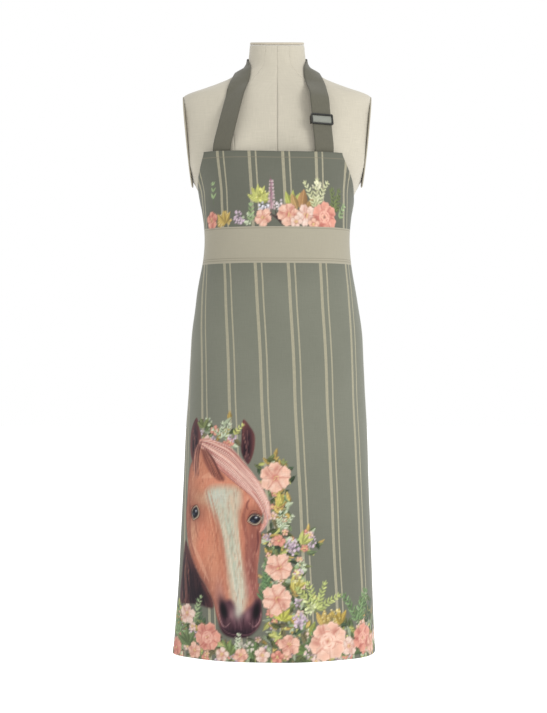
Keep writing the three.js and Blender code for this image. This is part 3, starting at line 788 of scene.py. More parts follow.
class Print:
    """Colour and cover at every point of the cloth."""

    def __init__(self, u, z):
        self.u, self.z = u, z
        self.colour = np.zeros((len(u), 3))
        self.cover = np.zeros(len(u))

    def near(self, u, z, reach):
        """The points in a square round a place."""
        return np.nonzero((np.abs(self.u - u) < reach) & (np.abs(self.z - z) < reach))[0]

    def within(self, line, margin=3):
        """The points in the box round an outline."""
        low, high = line.min(0) - margin, line.max(0) + margin
        return np.nonzero((self.u > low[0]) & (self.u < high[0])
                          & (self.z > low[1]) & (self.z < high[1]))[0]

    def lay(self, at, cover, colour):
        """Puts a colour over what is there. colour is one, or one for each point."""
        cover = np.asarray(cover)[:, None]
        self.colour[at] = self.colour[at] * (1 - cover) + np.asarray(colour, float) * cover
        self.cover[at] = self.cover[at] * (1 - cover[:, 0]) + cover[:, 0]

    def shade(self, at, amount, colour):
        """Tints what is already there, and leaves bare cloth bare."""
        amount = np.asarray(amount)[:, None]
        target = np.asarray(colour, float) * self.cover[at][:, None]
        self.colour[at] = self.colour[at] * (1 - amount) + target * amount

    def glow(self, place, size, colour, strength, turn=0.0):
        """A soft oval tint."""
        at = self.near(*place, 2.2 * max(size))
        a, b = local(self.u[at], self.z[at], place, turn)
        self.shade(at, strength * np.exp(-((a / size[0]) ** 2) - (b / size[1]) ** 2), colour)

    def stroke(self, points, width, colour, strength=1.0, taper=True, bare=False):
        """A tapering line through points. Where bare, it also covers bare cloth."""
        line = smooth_outline(points, closed=False, steps=5)
        at = self.within(line, width + 2)
        if not len(at):
            return
        distance, share = to_segments(self.u[at], self.z[at], line, False)
        half = width / 2 * (np.sin(np.pi * np.clip(share, 0.03, 0.97)) ** 0.5 if taper else 1)
        cover = strength * soft(distance - half, 1.5)
        (self.lay if bare else self.shade)(at, cover, colour)


def polar(u, z, reach, angle):
    """The place at a reach and an angle, in radians, from another."""
    return u + reach * math.cos(angle), z + reach * math.sin(angle)


def tinted(colour, share):
    """A colour made darker or lighter."""
    return np.clip(np.asarray(colour, float) * share, 0, 255)


def local(u, z, place, turn):
    """Coordinates along and across a direction from a place. turn is in degrees."""
    c, s = math.cos(math.radians(turn)), math.sin(math.radians(turn))
    du, dz = u - place[0], z - place[1]
    return du * c + dz * s, -du * s + dz * c


def blend(first, second, share):
    """Colours between two, for each share."""
    share = np.asarray(share)[:, None]
    return np.asarray(first, float) * (1 - share) + np.asarray(second, float) * share


PEACH = {"edge": (250, 224, 206), "body": (240, 198, 178), "heart": (204, 134, 120)}
CORAL = {"edge": (244, 202, 184), "body": (230, 170, 152), "heart": (190, 112, 104)}
BLUSH = {"edge": (250, 236, 224), "body": (240, 214, 200), "heart": (212, 150, 134)}
LIME = (186, 188, 122)
MOSS = (128, 136, 96)
PINE = (88, 104, 82)
GOLD = (194, 170, 108)
SAGE_LEAF = (150, 168, 128)
MIST = (186, 196, 168)
LILAC = (196, 176, 190)
TWIG = (92, 78, 76)


def petal(design, place, turn, length, width, tone):
    """One rounded, slightly ruffled petal that starts at a place."""
    middle = (place[0] + math.cos(math.radians(turn)) * length / 2,
              place[1] + math.sin(math.radians(turn)) * length / 2)
    at = design.near(*middle, length * 0.75 + width * 0.4)
    a, b = local(design.u[at], design.z[at], place, turn)
    ruffle = 1 + 0.07 * np.sin(7 * np.arctan2(b, a - length * 0.55) + turn)
    x = (a - length * 0.56) / (length * 0.5)
    y = b / (width * 0.5)
    reach = np.hypot(x, y) / ruffle
    distance = (reach - 1) * min(length, width) * 0.5
    outward = np.clip(a / length, 0, 1)
    colour = blend(tone["heart"], tone["body"], np.clip(outward * 2.4, 0, 1))
    rim = np.clip((reach - 0.62) / 0.38, 0, 1) ** 1.5
    colour = colour * (1 - rim[:, None]) + np.asarray(tone["edge"], float) * rim[:, None]
    veins = 0.5 + 0.5 * np.cos(b / max(width, 1) * 26)
    colour -= (9 * veins * (1 - outward))[:, None]
    lit = np.clip(b / width + 0.5, 0, 1)
    colour *= (0.93 + 0.1 * lit)[:, None]
    design.lay(at, soft(distance + 1.0) * 0.35, np.asarray(tone["heart"], float) * 0.75)
    design.lay(at, soft(distance + 1.6), np.clip(colour, 0, 255))


def blossom(design, u, z, radius, tone, petals=5, turn=0.0, double=True):
    """An open flower: outer petals, a ring of smaller ones, a heart and stamens."""
    at = design.near(u, z, radius * 1.5)
    away = np.hypot(design.u[at] - u, design.z[at] - z)
    design.lay(at, 0.45 * np.clip(1.15 - away / radius, 0, 1), (96, 92, 74))
    for i in range(petals):
        angle = turn + 360 * (i + rng.uniform(-0.12, 0.12)) / petals
        petal(design, (u, z), angle, radius * rng.uniform(0.95, 1.12),
              radius * rng.uniform(0.95, 1.15), tone)
    if double:
        for i in range(petals):
            angle = turn + 360 * (i + 0.5 + rng.uniform(-0.15, 0.15)) / petals
            petal(design, (u, z), angle, radius * 0.62, radius * 0.66, tone)
    if radius > 12:
        fold_petals(design, u, z, radius, tone, petals, turn)
    design.glow((u, z), (radius * 0.24, radius * 0.24), tone["heart"], 0.9)
    for _ in range(9):
        angle, away = rng.uniform(0, 2 * math.pi), radius * rng.uniform(0.05, 0.24)
        dot(design, *polar(u, z, away, angle), 1.2, (226, 200, 150), 0.8)


def fold_petals(design, u, z, radius, tone, petals, turn):
    """Shadows between the petals, and a soft shade and light on some of them."""
    dark = np.asarray(tone["heart"], float) * 0.9
    for i in range(petals):
        angle = math.radians(turn + 360 * (i + 0.5) / petals + rng.uniform(-8, 8))
        line = [polar(u, z, radius * share, angle + bend)
                for share, bend in ((0.2, 0), (0.55, 0.1), (0.98, 0))]
        design.stroke(line, radius * 0.1, dark, 0.5)
        side = angle + rng.uniform(0.2, 0.5)
        place = polar(u, z, radius * 0.62, side)
        shade = dark if rng.random() < 0.5 else tone["edge"]
        design.glow(place, (radius * 0.3, radius * 0.13), shade, 0.55, math.degrees(angle))


def rose(design, u, z, radius, tone, turn=0.0):
    """A full flower whose petals curl round its heart."""
    blossom(design, u, z, radius, tone, 6, turn)
    for ring, count in ((0.5, 5), (0.3, 4)):
        for i in range(count):
            angle = math.radians(turn + 40 * ring + 360 * i / count)
            place = polar(u, z, radius * ring * 0.7, angle)
            design.glow(place, (radius * 0.22, radius * 0.12), tone["edge"], 0.75,
                        math.degrees(angle) + 90)
            line = [polar(u, z, radius * ring, angle + s) for s in (-0.5, 0, 0.5)]
            design.stroke(line, 1.6, tone["heart"], 0.6)


def dot(design, u, z, radius, colour, strength=1.0):
    """A small round spot."""
    at = design.near(u, z, radius + 2)
    away = np.hypot(design.u[at] - u, design.z[at] - z)
    design.lay(at, strength * soft(away - radius, 1.4), colour)


def leaf(design, u, z, length, width, turn, colour):
    """A pointed leaf with a pale rib and one darker half."""
    reach = length * 0.6 + width
    middle = (u + math.cos(math.radians(turn)) * length / 2,
              z + math.sin(math.radians(turn)) * length / 2)
    at = design.near(*middle, reach)
    a, b = local(design.u[at], design.z[at], (u, z), turn)
    share = np.clip(a / length, 0, 1)
    half = width / 2 * np.sin(np.pi * share ** 0.8) ** 0.9
    outside = np.maximum(-a, a - length)
    distance = np.maximum(np.abs(b) - half, outside)
    colour = np.asarray(colour, float)
    body = blend(colour * 0.78, np.minimum(colour * 1.12, 255), np.clip(b / width + 0.55, 0, 1))
    rib = np.exp(-((b / 0.8) ** 2)) * 0.5
    body = body * (1 - rib[:, None]) + np.minimum(colour * 1.35, 255) * rib[:, None]
    design.lay(at, soft(distance), body)


def spray(design, u, z, length, turn, leaves, size, colour, width=0.42):
    """A curved stem with leaves in pairs."""
    bend = rng.uniform(-14, 14)
    points = []
    for i in range(leaves + 1):
        share = i / leaves
        points.append(polar(u, z, length * share, math.radians(turn + bend * share)))
    design.stroke(points, 1.2, np.asarray(colour, float) * 0.75, bare=True, taper=False)
    for i, (pu, pz) in enumerate(points[1:], 1):
        scale = size * (1.1 - 0.45 * i / leaves)
        for side in (-1, 1):
            angle = turn + bend * i / leaves + side * rng.uniform(32, 52)
            tint = tinted(colour, rng.uniform(0.88, 1.12))
            leaf(design, pu, pz, scale, scale * width, angle, tint)
    leaf(design, *points[-1], size * 0.7, size * 0.3, turn + bend, colour)


def leaf_fan(design, u, z, length, width, turns, colour):
    """Leaves that spread from one place."""
    for turn in turns:
        leaf(design, u, z, length, width, turn, colour)


def spray_fan(design, u, z, length, turns, leaves, size, colour):
    """Sprays that spread from one place."""
    for turn in turns:
        spray(design, u, z, length, turn, leaves, size, colour)


def cluster(design, u, z, radius, count, size, colour):
    """Small buds scattered over a patch, on fine stems."""
    for _ in range(count):
        angle, away = rng.uniform(0, 2 * math.pi), radius * math.sqrt(rng.uniform(0, 1))
        bu, bz = polar(u, z, away, angle)
        design.stroke([(u, z - radius * 0.4), ((u + bu) / 2 + 1, (z + bz) / 2), (bu, bz)], 0.9,
                      np.asarray(colour, float) * 0.7, 0.5, bare=True)
        tint = tinted(colour, rng.uniform(0.86, 1.18))
        dot(design, bu, bz, size * rng.uniform(0.7, 1.25), tint)
        dot(design, bu + size * 0.3, bz + size * 0.3, size * 0.35, (240, 234, 222), 0.6)


def draw_bib(design):
    """The row of flowers that stands on the band."""
    spray(design, -132, 330, 34, 95, 3, 12, SAGE_LEAF)
    cluster(design, -106, 300, 15, 26, 2.6, GOLD)
    leaf_fan(design, -106, 292, 26, 11, (60, 95, 130), GOLD)
    cluster(design, -74, 304, 12, 24, 2.2, LILAC)
    cluster(design, -56, 300, 11, 18, 2.2, MIST)
    spray(design, -50, 290, 34, 88, 4, 12, SAGE_LEAF)
    for turn, length in ((150, 27), (120, 30), (95, 32), (70, 30), (40, 26), (15, 22)):
        leaf(design, -34, 332, length, 11, turn, LIME)
    cluster(design, -34, 346, 14, 16, 2.4, (206, 206, 124))
    for step in range(9):
        dot(design, -11 + 1.4 * math.sin(step * 2.1), 322 + 6 * step, 3.6 - 0.2 * step,
            (206 - 6 * step, 180 - 8 * step, 184 - 6 * step))
        for side in (-1, 1):
            dot(design, -11 + side * (6 - 0.5 * step), 320 + 6 * step, 2.2, (214, 192, 194), 0.8)
    design.stroke([(-11, 300), (-12, 340), (-13, 376)], 1.2, (140, 108, 112), bare=True)
    cluster(design, -24, 320, 12, 22, 2.0, (206, 204, 214))
    cluster(design, 12, 322, 16, 24, 1.9, (214, 204, 206))
    leaf_fan(design, 27, 318, 34, 13, (60, 85, 110), (176, 180, 110))
    leaf(design, 46, 318, 36, 20, 82, (176, 142, 104))
    leaf(design, 38, 318, 30, 14, 112, (184, 156, 112))
    leaf(design, 56, 314, 30, 14, 60, (164, 138, 98))
    spray_fan(design, 76, 316, 52, (75, 92, 108), 7, 11, (188, 190, 154))
    cluster(design, 76, 362, 9, 18, 2.0, (216, 214, 184))
    spray_fan(design, 114, 310, 42, (62, 84), 6, 13, (112, 122, 84))
    spray(design, 124, 300, 30, 50, 4, 12, SAGE_LEAF)
    blossom(design, -139, 301, 17, CORAL, 5, 20)
    blossom(design, -27, 303, 17, PEACH, 5, 60)
    design.stroke([(-12, 310), (0, 302), (12, 294)], 4.5, TWIG, bare=True)
    design.stroke([(-4, 316), (2, 300), (10, 290)], 3.0, (64, 52, 54), bare=True)
    leaf(design, 8, 294, 18, 8, 30, (196, 190, 168))
    blossom(design, 21, 309, 21, PEACH, 6, 12)
    blossom(design, 56, 307, 20, BLUSH, 5, 40)
    blossom(design, 36, 295, 12, BLUSH, 5, 5, double=False)
    rose(design, 93, 305, 26, CORAL, 25)
    blossom(design, 70, 292, 12, PEACH, 5, 15, double=False)


def draw_skirt(design):
    """Flowers beside the horse, and the wide bed of them along the hem."""
    leaf_fan(design, -148, -96, 22, 10, (120, 150, 60), MOSS)
    blossom(design, -123, -100, 10, CORAL, 5, double=False)
    spray_fan(design, -100, -118, 30, (70, 100, 130), 4, 10, MIST)
    spray(design, -84, -112, 28, 55, 4, 9, LIME)

    spray(design, 14, -214, 52, 80, 6, 15, MOSS)
    spray(design, 0, -262, 56, 74, 6, 15, GOLD)
    leaf(design, 2, -242, 26, 13, 60, (184, 178, 104))
    leaf(design, 10, -236, 24, 11, 105, (198, 184, 112))
    spray_fan(design, 8, -288, 34, (45, 70, 100), 5, 9, MIST)
    leaf_fan(design, 46, -312, 26, 10, (20, 50, 80), LIME)
    cluster(design, 31, -318, 15, 30, 2.3, LILAC)
    blossom(design, 6, -306, 12, CORAL, 5, double=False)
    spray(design, -26, -424, 66, 82, 9, 17, (98, 124, 92), 0.3)
    spray(design, -12, -404, 50, 110, 7, 14, (110, 134, 98), 0.32)
    leaf_fan(design, 32, -398, 30, 11, (30, 60, 88), (190, 180, 110))
    cluster(design, 40, -374, 13, 18, 2.4, (206, 200, 148))
    blossom(design, 6, -357, 25, PEACH, 6, 8)
    blossom(design, -2, -188, 28, PEACH, 6, 30)

    spray_fan(design, 74, -442, 54, (40, 66, 92, 118), 7, 13, (176, 184, 124))
    cluster(design, 60, -434, 16, 30, 2.0, (208, 214, 168))
    for turn in (60, 90, 120):
        leaf(design, 93, -470, 34, 13, turn, GOLD)
        leaf(design, 124, -468, 32, 12, turn, (182, 160, 92))
    cluster(design, 108, -450, 20, 24, 2.2, (206, 190, 132))
    spray_fan(design, 168, -470, 62, (58, 84, 112), 7, 15, (120, 142, 104))
    spray(design, 188, -478, 52, 72, 6, 14, PINE)
    leaf_fan(design, 10, -456, 28, 11, (20, 55, 90, 130), (192, 190, 104))
    cluster(design, 44, -456, 16, 34, 2.4, LILAC)
    blossom(design, 2, -416, 28, PEACH, 6, 22)

    spray_fan(design, -206, -500, 60, (70, 100, 130), 6, 15, (132, 150, 112))
    spray(design, -152, -470, 44, 96, 5, 12, PINE)
    spray(design, -166, -468, 50, 84, 6, 12, (150, 164, 128))
    leaf_fan(design, -184, -512, 34, 13, (30, 60, 95, 125, 150), (120, 136, 98))
    for turn in (50, 80, 110):
        leaf(design, -92, -524, 32, 12, turn, (132, 148, 100))
        leaf(design, -44, -528, 34, 12, turn, (112, 132, 92))
    leaf(design, -100, -506, 30, 10, 150, (178, 176, 124))
    spray(design, -72, -520, 34, 96, 5, 11, MIST)
    cluster(design, -58, -508, 15, 26, 2.1, (196, 190, 176))
    blossom(design, -186, -452, 19, BLUSH, 5, 15)
    blossom(design, -216, -520, 18, CORAL, 5, 40)
    rose(design, -136, -492, 27, CORAL, 10)
    blossom(design, -166, -520, 16, PEACH, 5, 33)
    blossom(design, -104, -522, 14, BLUSH, 5, 5, double=False)
    blossom(design, -67, -522, 14, PEACH, 5, 55)
    blossom(design, -27, -521, 15, BLUSH, 5, 12)

    for turn in (10, 40, 140, 170):
        leaf(design, 56, -516, 36, 13, turn, (122, 142, 92))
        leaf(design, 150, -524, 34, 13, turn, (112, 130, 94))
    leaf(design, 64, -486, 30, 12, 70, (148, 154, 92))
    spray(design, 58, -520, 44, 82, 6, 13, (108, 132, 96))
    cluster(design, 64, -516, 14, 24, 2.4, (206, 184, 176))
    blossom(design, 24, -502, 21, PEACH, 5, 26)
    blossom(design, 2, -524, 13, CORAL, 5, 5, double=False)
    blossom(design, 146, -510, 18, BLUSH, 5, 18)
    rose(design, 100, -497, 36, PEACH, 14)
    rose(design, 180, -497, 25, CORAL, 30)
    blossom(design, 212, -512, 18, PEACH, 5, 8)
    spray(design, 226, -524, 54, 76, 6, 13, (128, 144, 106))
    blossom(design, 236, -500, 13, BLUSH, 5, 50, double=False)


# Traced, not designed: the points of FACE, the ears, BLAZE, MUZZLE and NECK_SHADE were
# picked on the reference picture and turned into flat millimetres by a helper script.
FACE = [
    (-181, -161), (-192, -189), (-195, -227), (-198, -264), (-192, -304), (-180, -337),
    (-159, -371), (-137, -398), (-124, -421), (-117, -446), (-109, -470), (-99, -484),
    (-83, -489), (-58, -488), (-41, -478), (-29, -459), (-27, -427), (-33, -399),
    (-35, -362), (-31, -324), (-29, -287), (-26, -259), (-24, -230), (-37, -197),
    (-67, -167), (-107, -141), (-146, -129),
]
LEFT_EAR = [(-170, -77), (-188, -102), (-190, -137), (-177, -163), (-154, -154), (-154, -120),
            (-160, -97)]
RIGHT_EAR = [(-64, -79), (-67, -114), (-67, -141), (-54, -163), (-43, -140), (-41, -110),
             (-50, -92)]
BLAZE = [
    (-140, -218), (-118, -206), (-75, -208), (-67, -231), (-73, -259), (-75, -297),
    (-67, -344), (-60, -381), (-56, -413), (-65, -445), (-81, -431), (-91, -382),
    (-99, -326), (-111, -279), (-133, -242),
]
MUZZLE = [(-105, -432), (-87, -419), (-67, -443), (-48, -430), (-31, -418), (-29, -459),
          (-41, -478), (-58, -488), (-83, -489), (-99, -484), (-109, -470)]
NECK_SHADE = [(-210, -431), (-207, -373), (-198, -314), (-180, -337), (-159, -371),
              (-137, -398), (-124, -421), (-126, -437), (-161, -432)]
MAROON = (96, 66, 72)
CHESTNUT = (204, 142, 116)
ROSY = (224, 160, 138)
EYE_DARK = (52, 48, 58)
TUFT = [(-153, -136), (-143, -141), (-129, -160), (-106, -181), (-99, -192), (-112, -195),
        (-130, -181), (-146, -160)]
FORELOCK_TOP = [(-160, -122), (-148, -116), (-118, -120), (-86, -133), (-57, -164), (-30, -200),
                (-12, -240), (-15, -270), (-30, -290)]
FORELOCK_LOW = [(-160, -130), (-148, -140), (-130, -158), (-102, -180), (-70, -204),
                (-47, -222), (-31, -242), (-23, -262), (-32, -290)]
BLAZE_TONES = [(204, 208, 190), (186, 196, 178), (220, 212, 192), (212, 190, 168)]
EAR_DARK = (60, 42, 52)


def filled(design, points, colour, edge=2.0, inset=0.0, strength=1.0):
    """A smooth flat shape. Returns the points near it and their signed distances."""
    line = smooth_outline(points)
    at = design.within(line, 6)
    distance = outline_distance(design.u[at], design.z[at], line) + inset
    design.lay(at, strength * soft(distance, edge), colour)
    return at, distance


def strands(design, start, stop, count, width, colours, sag=0.0, spread=3.0, strength=0.8,
            bare=False):
    """Hair from one line of points to another, each strand bent by the sag."""
    starts = smooth_outline(start, closed=False, steps=24)
    stops = smooth_outline(stop, closed=False, steps=24)
    for i in range(count):
        share = (i + rng.uniform(0, 1)) / count
        a = starts[min(int(share * len(starts)), len(starts) - 1)] + rng.uniform(-1, 1, 2)
        b = stops[min(int(share * len(stops)), len(stops) - 1)]
        b = b + rng.uniform(-spread, spread, 2)
        way = b - a
        side = np.array([-way[1], way[0]]) * (sag + rng.uniform(-0.06, 0.06))
        colour = tinted(colours[rng.integers(len(colours))], rng.uniform(0.88, 1.1))
        points = [a, a + way * 0.33 + side, a + way * 0.68 + side * 0.8, b]
        design.stroke(points, width * rng.uniform(0.7, 1.3), colour, strength, bare=bare)



def sweep(design, first, last, count, width, colours, strength, bare=False):
    """Strands that run along two guide lines, each at its own share between them."""
    one, two = (smooth_outline(line, closed=False, steps=6) for line in (first, last))
    for i in range(count):
        share = (i + rng.uniform(0, 1)) / count
        line = one * (1 - share) + two * share
        start = rng.integers(0, len(line) // 2)
        stop = rng.integers(start + len(line) // 4, len(line))
        part = line[start:stop + 1:4] + rng.uniform(-0.8, 0.8, 2)
        if len(part) < 3:
            continue
        colour = tinted(colours[rng.integers(len(colours))], rng.uniform(0.9, 1.08))
        design.stroke(part, width * rng.uniform(0.7, 1.4), colour, strength, bare=bare)


def draw_eye(design, u, z, size, lean):
    """A dark eye with lids, a pale rim, a glint and a soft socket."""
    design.glow((u, z), (size * 1.7, size * 1.9), (138, 88, 78), 0.6, lean)
    at = design.near(u, z, size * 2)
    a, b = local(design.u[at], design.z[at], (u, z), lean)
    almond = np.abs(b) / (size * 0.78) + (a / (size * 1.05)) ** 2 - 1
    design.shade(at, 0.85 * soft(almond * size * 0.6 - 1.6), (196, 186, 162))
    design.shade(at, soft(almond * size * 0.6 + 1.4), EYE_DARK)
    design.glow((u, z - size * 0.1), (size * 0.5, size * 0.42), (24, 24, 32), 1.0, lean)
    design.glow((u - size * 0.3, z - size * 0.25), (size * 0.35, size * 0.2), (110, 122, 140), 0.6)
    design.glow((u + size * 0.18, z + size * 0.24), (size * 0.18, size * 0.14), (230, 232, 236), 1)
    c, s = math.cos(math.radians(lean)), math.sin(math.radians(lean))
    for lift, dark, wide in ((0.85, (70, 42, 46), 2.6), (1.35, (140, 86, 74), 1.8),
                             (-0.95, (104, 64, 60), 2.0)):
        lid = [(u + x * size * c - lift * (1 - x * x * 0.6) * size * s,
                z + x * size * s + lift * (1 - x * x * 0.6) * size * c)
               for x in (-1.25, -0.6, 0, 0.6, 1.25)]
        design.stroke(lid, wide, dark, 0.85)


def draw_ears(design):
    """Two upright ears, dark inside and pale along their rims."""
    for ear, inner, lean in ((LEFT_EAR, (-173, -116), 88), (RIGHT_EAR, (-56, -122), 84)):
        filled(design, ear, (132, 88, 84), 2.2)
        design.glow(inner, (32, 9.5), EAR_DARK, 1.0, lean)
        design.glow((inner[0], inner[1] - 16), (20, 8), (44, 30, 40), 0.9, lean)
        for i in range(22):
            u = inner[0] + rng.uniform(-9, 9)
            design.stroke([(u, inner[1] + rng.uniform(0, 24)), (inner[0], inner[1] - 14),
                           (inner[0] + rng.uniform(-7, 7), inner[1] - 34)], 1.3,
                          (EAR_DARK, (196, 150, 132), (104, 70, 74))[i % 3], 0.5)
        design.stroke(ear[:3], 2.4, (74, 50, 56), 0.8)


def draw_coat(design):
    """The face's coat: soft patches of light and shade under many short hairs."""
    at, distance = filled(design, FACE, CHESTNUT, 2.4)
    rim = np.exp(distance / 7) * (distance < 2)
    design.shade(at, 0.7 * rim, (128, 80, 74))
    tints = [
        ((-176, -215), (16, 40), (186, 134, 112), 0.6), ((-60, -232), (24, 14), ROSY, 0.6),
        ((-118, -196), (44, 14), (222, 156, 130), 0.8), ((-150, -300), (20, 44), (226, 150, 124), 0.8),
        ((-128, -352), (16, 46), (220, 160, 132), 0.7), ((-172, -290), (14, 34), (214, 170, 142), 0.7),
        ((-44, -310), (10, 40), (140, 88, 84), 0.75), ((-50, -360), (13, 44), (150, 100, 96), 0.75),
        ((-34, -336), (6, 34), (226, 164, 140), 0.7), ((-110, -404), (12, 30), (190, 140, 128), 0.7),
        ((-96, -300), (8, 60), (190, 126, 108), 0.55), ((-60, -290), (8, 26), (196, 132, 114), 0.6),
        ((-46, -398), (12, 22), (184, 128, 122), 0.7), ((-140, -256), (16, 22), (206, 148, 122), 0.6),
        ((-150, -232), (20, 14), (206, 182, 152), 0.5), ((-138, -385), (10, 24), (150, 100, 90), 0.5),
    ]
    for place, size, colour, strength in tints:
        design.glow(place, size, colour, strength)
    for shadow, wide in ((((-186, -214), (-184, -262), (-184, -300), (-168, -340)), 9),
                         (((-150, -392), (-128, -420), (-118, -452)), 8),
                         (((-34, -286), (-38, -330), (-44, -372), (-38, -420)), 13),
                         (((-52, -232), (-62, -262), (-56, -300), (-56, -350)), 7)):
        design.stroke(shadow, wide, (126, 76, 72), 0.38)
    design.stroke([(-176, -316), (-156, -346), (-134, -384)], 9, (236, 186, 160), 0.45)
    design.stroke([(-150, -190), (-124, -184), (-100, -192)], 12, (236, 186, 158), 0.4)
    filled(design, BLAZE, (200, 204, 186), 16, strength=0.92)
    design.glow((-112, -226), (22, 14), (206, 212, 200), 0.7)
    design.glow((-84, -236), (10, 22), (214, 184, 160), 0.6)
    design.glow((-78, -310), (7, 50), (214, 204, 182), 0.7)
    design.glow((-72, -400), (8, 26), (216, 210, 196), 0.7)
    sweep(design, [(-134, -222), (-104, -290), (-86, -380), (-72, -440)],
          [(-72, -214), (-70, -290), (-62, -380), (-66, -440)], 90, 1.8, BLAZE_TONES, 0.5)
    sweep(design, [(-150, -200), (-124, -290), (-104, -400)],
          [(-126, -214), (-104, -300), (-92, -400)], 26, 2.0, [(196, 128, 106), (228, 176, 146)], 0.5)
    face_line = smooth_outline(FACE)
    starts = np.stack([rng.uniform(-196, -26, 1100), rng.uniform(-470, -130, 1100)], 1)
    inside = outline_distance(starts[:, 0], starts[:, 1], face_line) < -5
    for i, (u, z) in enumerate(starts[inside]):
        lean = (u + 80) * 0.0022
        length = rng.uniform(7, 15)
        design.stroke([(u, z), (u + lean * length, z - length * 0.5),
                       (u + 1.6 * lean * length, z - length)], 1.4,
                      (240, 200, 174) if i % 2 else (150, 98, 82), 0.26)


def draw_muzzle(design):
    """A dark muzzle with two tall nostrils under the end of the blaze."""
    filled(design, MUZZLE, (86, 58, 70), 9, strength=0.94)
    design.glow((-72, -480), (38, 13), (50, 34, 44), 1.0)
    design.glow((-71, -462), (15, 14), (84, 56, 68), 0.8)
    design.glow((-86, -448), (6, 12), (176, 140, 142), 0.7)
    design.glow((-54, -446), (6, 12), (170, 132, 136), 0.7)
    design.glow((-72, -440), (9, 16), (204, 200, 186), 0.9)
    for u, z, lean in ((-101, -436, 105), (-37, -436, 78)):
        design.glow((u, z), (25, 12), (150, 112, 116), 0.7, lean)
        design.glow((u, z), (19, 7.5), (44, 30, 40), 1.0, lean)
        design.glow((u, z - 5), (14, 6), (28, 20, 28), 1.0, lean)
    design.stroke([(-113, -440), (-106, -462), (-98, -470), (-88, -462)], 2.2, (196, 160, 156), 0.7)
    design.stroke([(-28, -440), (-32, -458), (-42, -468), (-52, -460)], 2.2, (188, 150, 150), 0.7)
    design.stroke([(-106, -468), (-94, -480), (-74, -484), (-50, -482), (-34, -470)], 2.2,
                  (138, 104, 110), 0.6)
    for i in range(40):
        u = rng.uniform(-104, -34)
        design.stroke([(u, -452), (u + rng.uniform(-3, 3), -466 - rng.uniform(0, 16))], 1.0,
                      (58, 40, 48) if i % 2 else (150, 116, 120), 0.4)


def draw_forelock(design):
    """A forelock swept smoothly from one ear across to the far eye."""
    pinks = [(226, 172, 156), (214, 152, 138), (238, 198, 182), (198, 132, 122), (232, 184, 168)]
    outline = FORELOCK_TOP + FORELOCK_LOW[-2:0:-1]
    filled(design, outline, (214, 158, 144), 3)
    sweep(design, FORELOCK_TOP, FORELOCK_LOW, 120, 3.2, pinks, 0.7)
    sweep(design, FORELOCK_TOP, FORELOCK_LOW, 30, 1.3, [(160, 106, 98), (136, 88, 88)], 0.6)
    sweep(design, FORELOCK_TOP, FORELOCK_LOW, 26, 1.5, [(250, 220, 206)], 0.7)
    design.stroke([(-20, -246), (-16, -268), (-24, -286)], 2.4, (196, 170, 170), 0.8, bare=True)
    filled(design, TUFT, (158, 104, 90), 5)
    strands(design, [(-154, -138), (-146, -136), (-140, -138)],
            [(-130, -180), (-116, -190), (-102, -194)], 26, 1.6,
            [(104, 68, 66), (186, 128, 108), (136, 88, 80)], 0.05, 4, 0.7, bare=True)
    strands(design, [(-172, -134), (-160, -124), (-150, -120)],
            [(-176, -176), (-168, -190), (-160, -186)], 22, 2.0,
            [(150, 102, 92), (206, 158, 138), MAROON], -0.06, 4, 0.6, bare=True)


def draw_horse(design):
    """A horse's head, seen from the front, with a blaze and a swept forelock."""
    filled(design, NECK_SHADE, (96, 64, 66), 5)
    strands(design, [(-204, -330), (-188, -350), (-150, -395)],
            [(-206, -424), (-176, -432), (-136, -434)], 60, 3.4,
            [MAROON, (150, 108, 96), (54, 40, 50), (54, 40, 50)], 0.02, 5, 0.85)
    design.glow((-152, -412), (28, 24), (42, 32, 42), 1.0)
    design.glow((-168, -385), (12, 30), (58, 42, 50), 0.8)
    draw_ears(design)
    draw_coat(design)
    draw_muzzle(design)
    draw_eye(design, -168, -258, 13, 72)
    draw_eye(design, -40, -266, 12.5, 12)
    design.stroke([(-52, -250), (-56, -238), (-50, -228)], 3, (128, 78, 74), 0.7)
    design.stroke([(-36, -284), (-34, -306), (-38, -330)], 3.5, (112, 68, 70), 0.7)
    design.stroke([(-166, -274), (-164, -292), (-158, -306)], 3.0, (160, 104, 88), 0.6)
    draw_forelock(design)


BED_GREENS = [MOSS, PINE, GOLD, SAGE_LEAF, MIST, LIME, (146, 140, 108), (104, 116, 84)]


def bed(design, outline, leaves, buds):
    """Fills a patch with overlapping leaves and small buds."""
    line = smooth_outline(outline)
    low, high = line.min(0), line.max(0)
    places = rng.uniform(low, high, (12 * (leaves + buds), 2))
    inside = outline_distance(places[:, 0], places[:, 1], line) < -4
    places = places[inside][: leaves + buds]
    for i, (u, z) in enumerate(rng.permutation(places)):
        green = BED_GREENS[rng.integers(len(BED_GREENS))]
        if i < leaves:
            tint = tinted(green, rng.uniform(0.75, 1.05))
            leaf(design, u, z, rng.uniform(14, 24), rng.uniform(6, 10), rng.uniform(0, 360), tint)
        elif rng.random() < 0.5:
            tone = (PEACH, BLUSH, CORAL)[rng.integers(3)]
            blossom(design, u, z, rng.uniform(6, 10), tone, 5, rng.uniform(0, 72), double=False)
        else:
            cluster(design, u, z, 9, 12, 1.9, (LILAC, MIST)[rng.integers(2)])


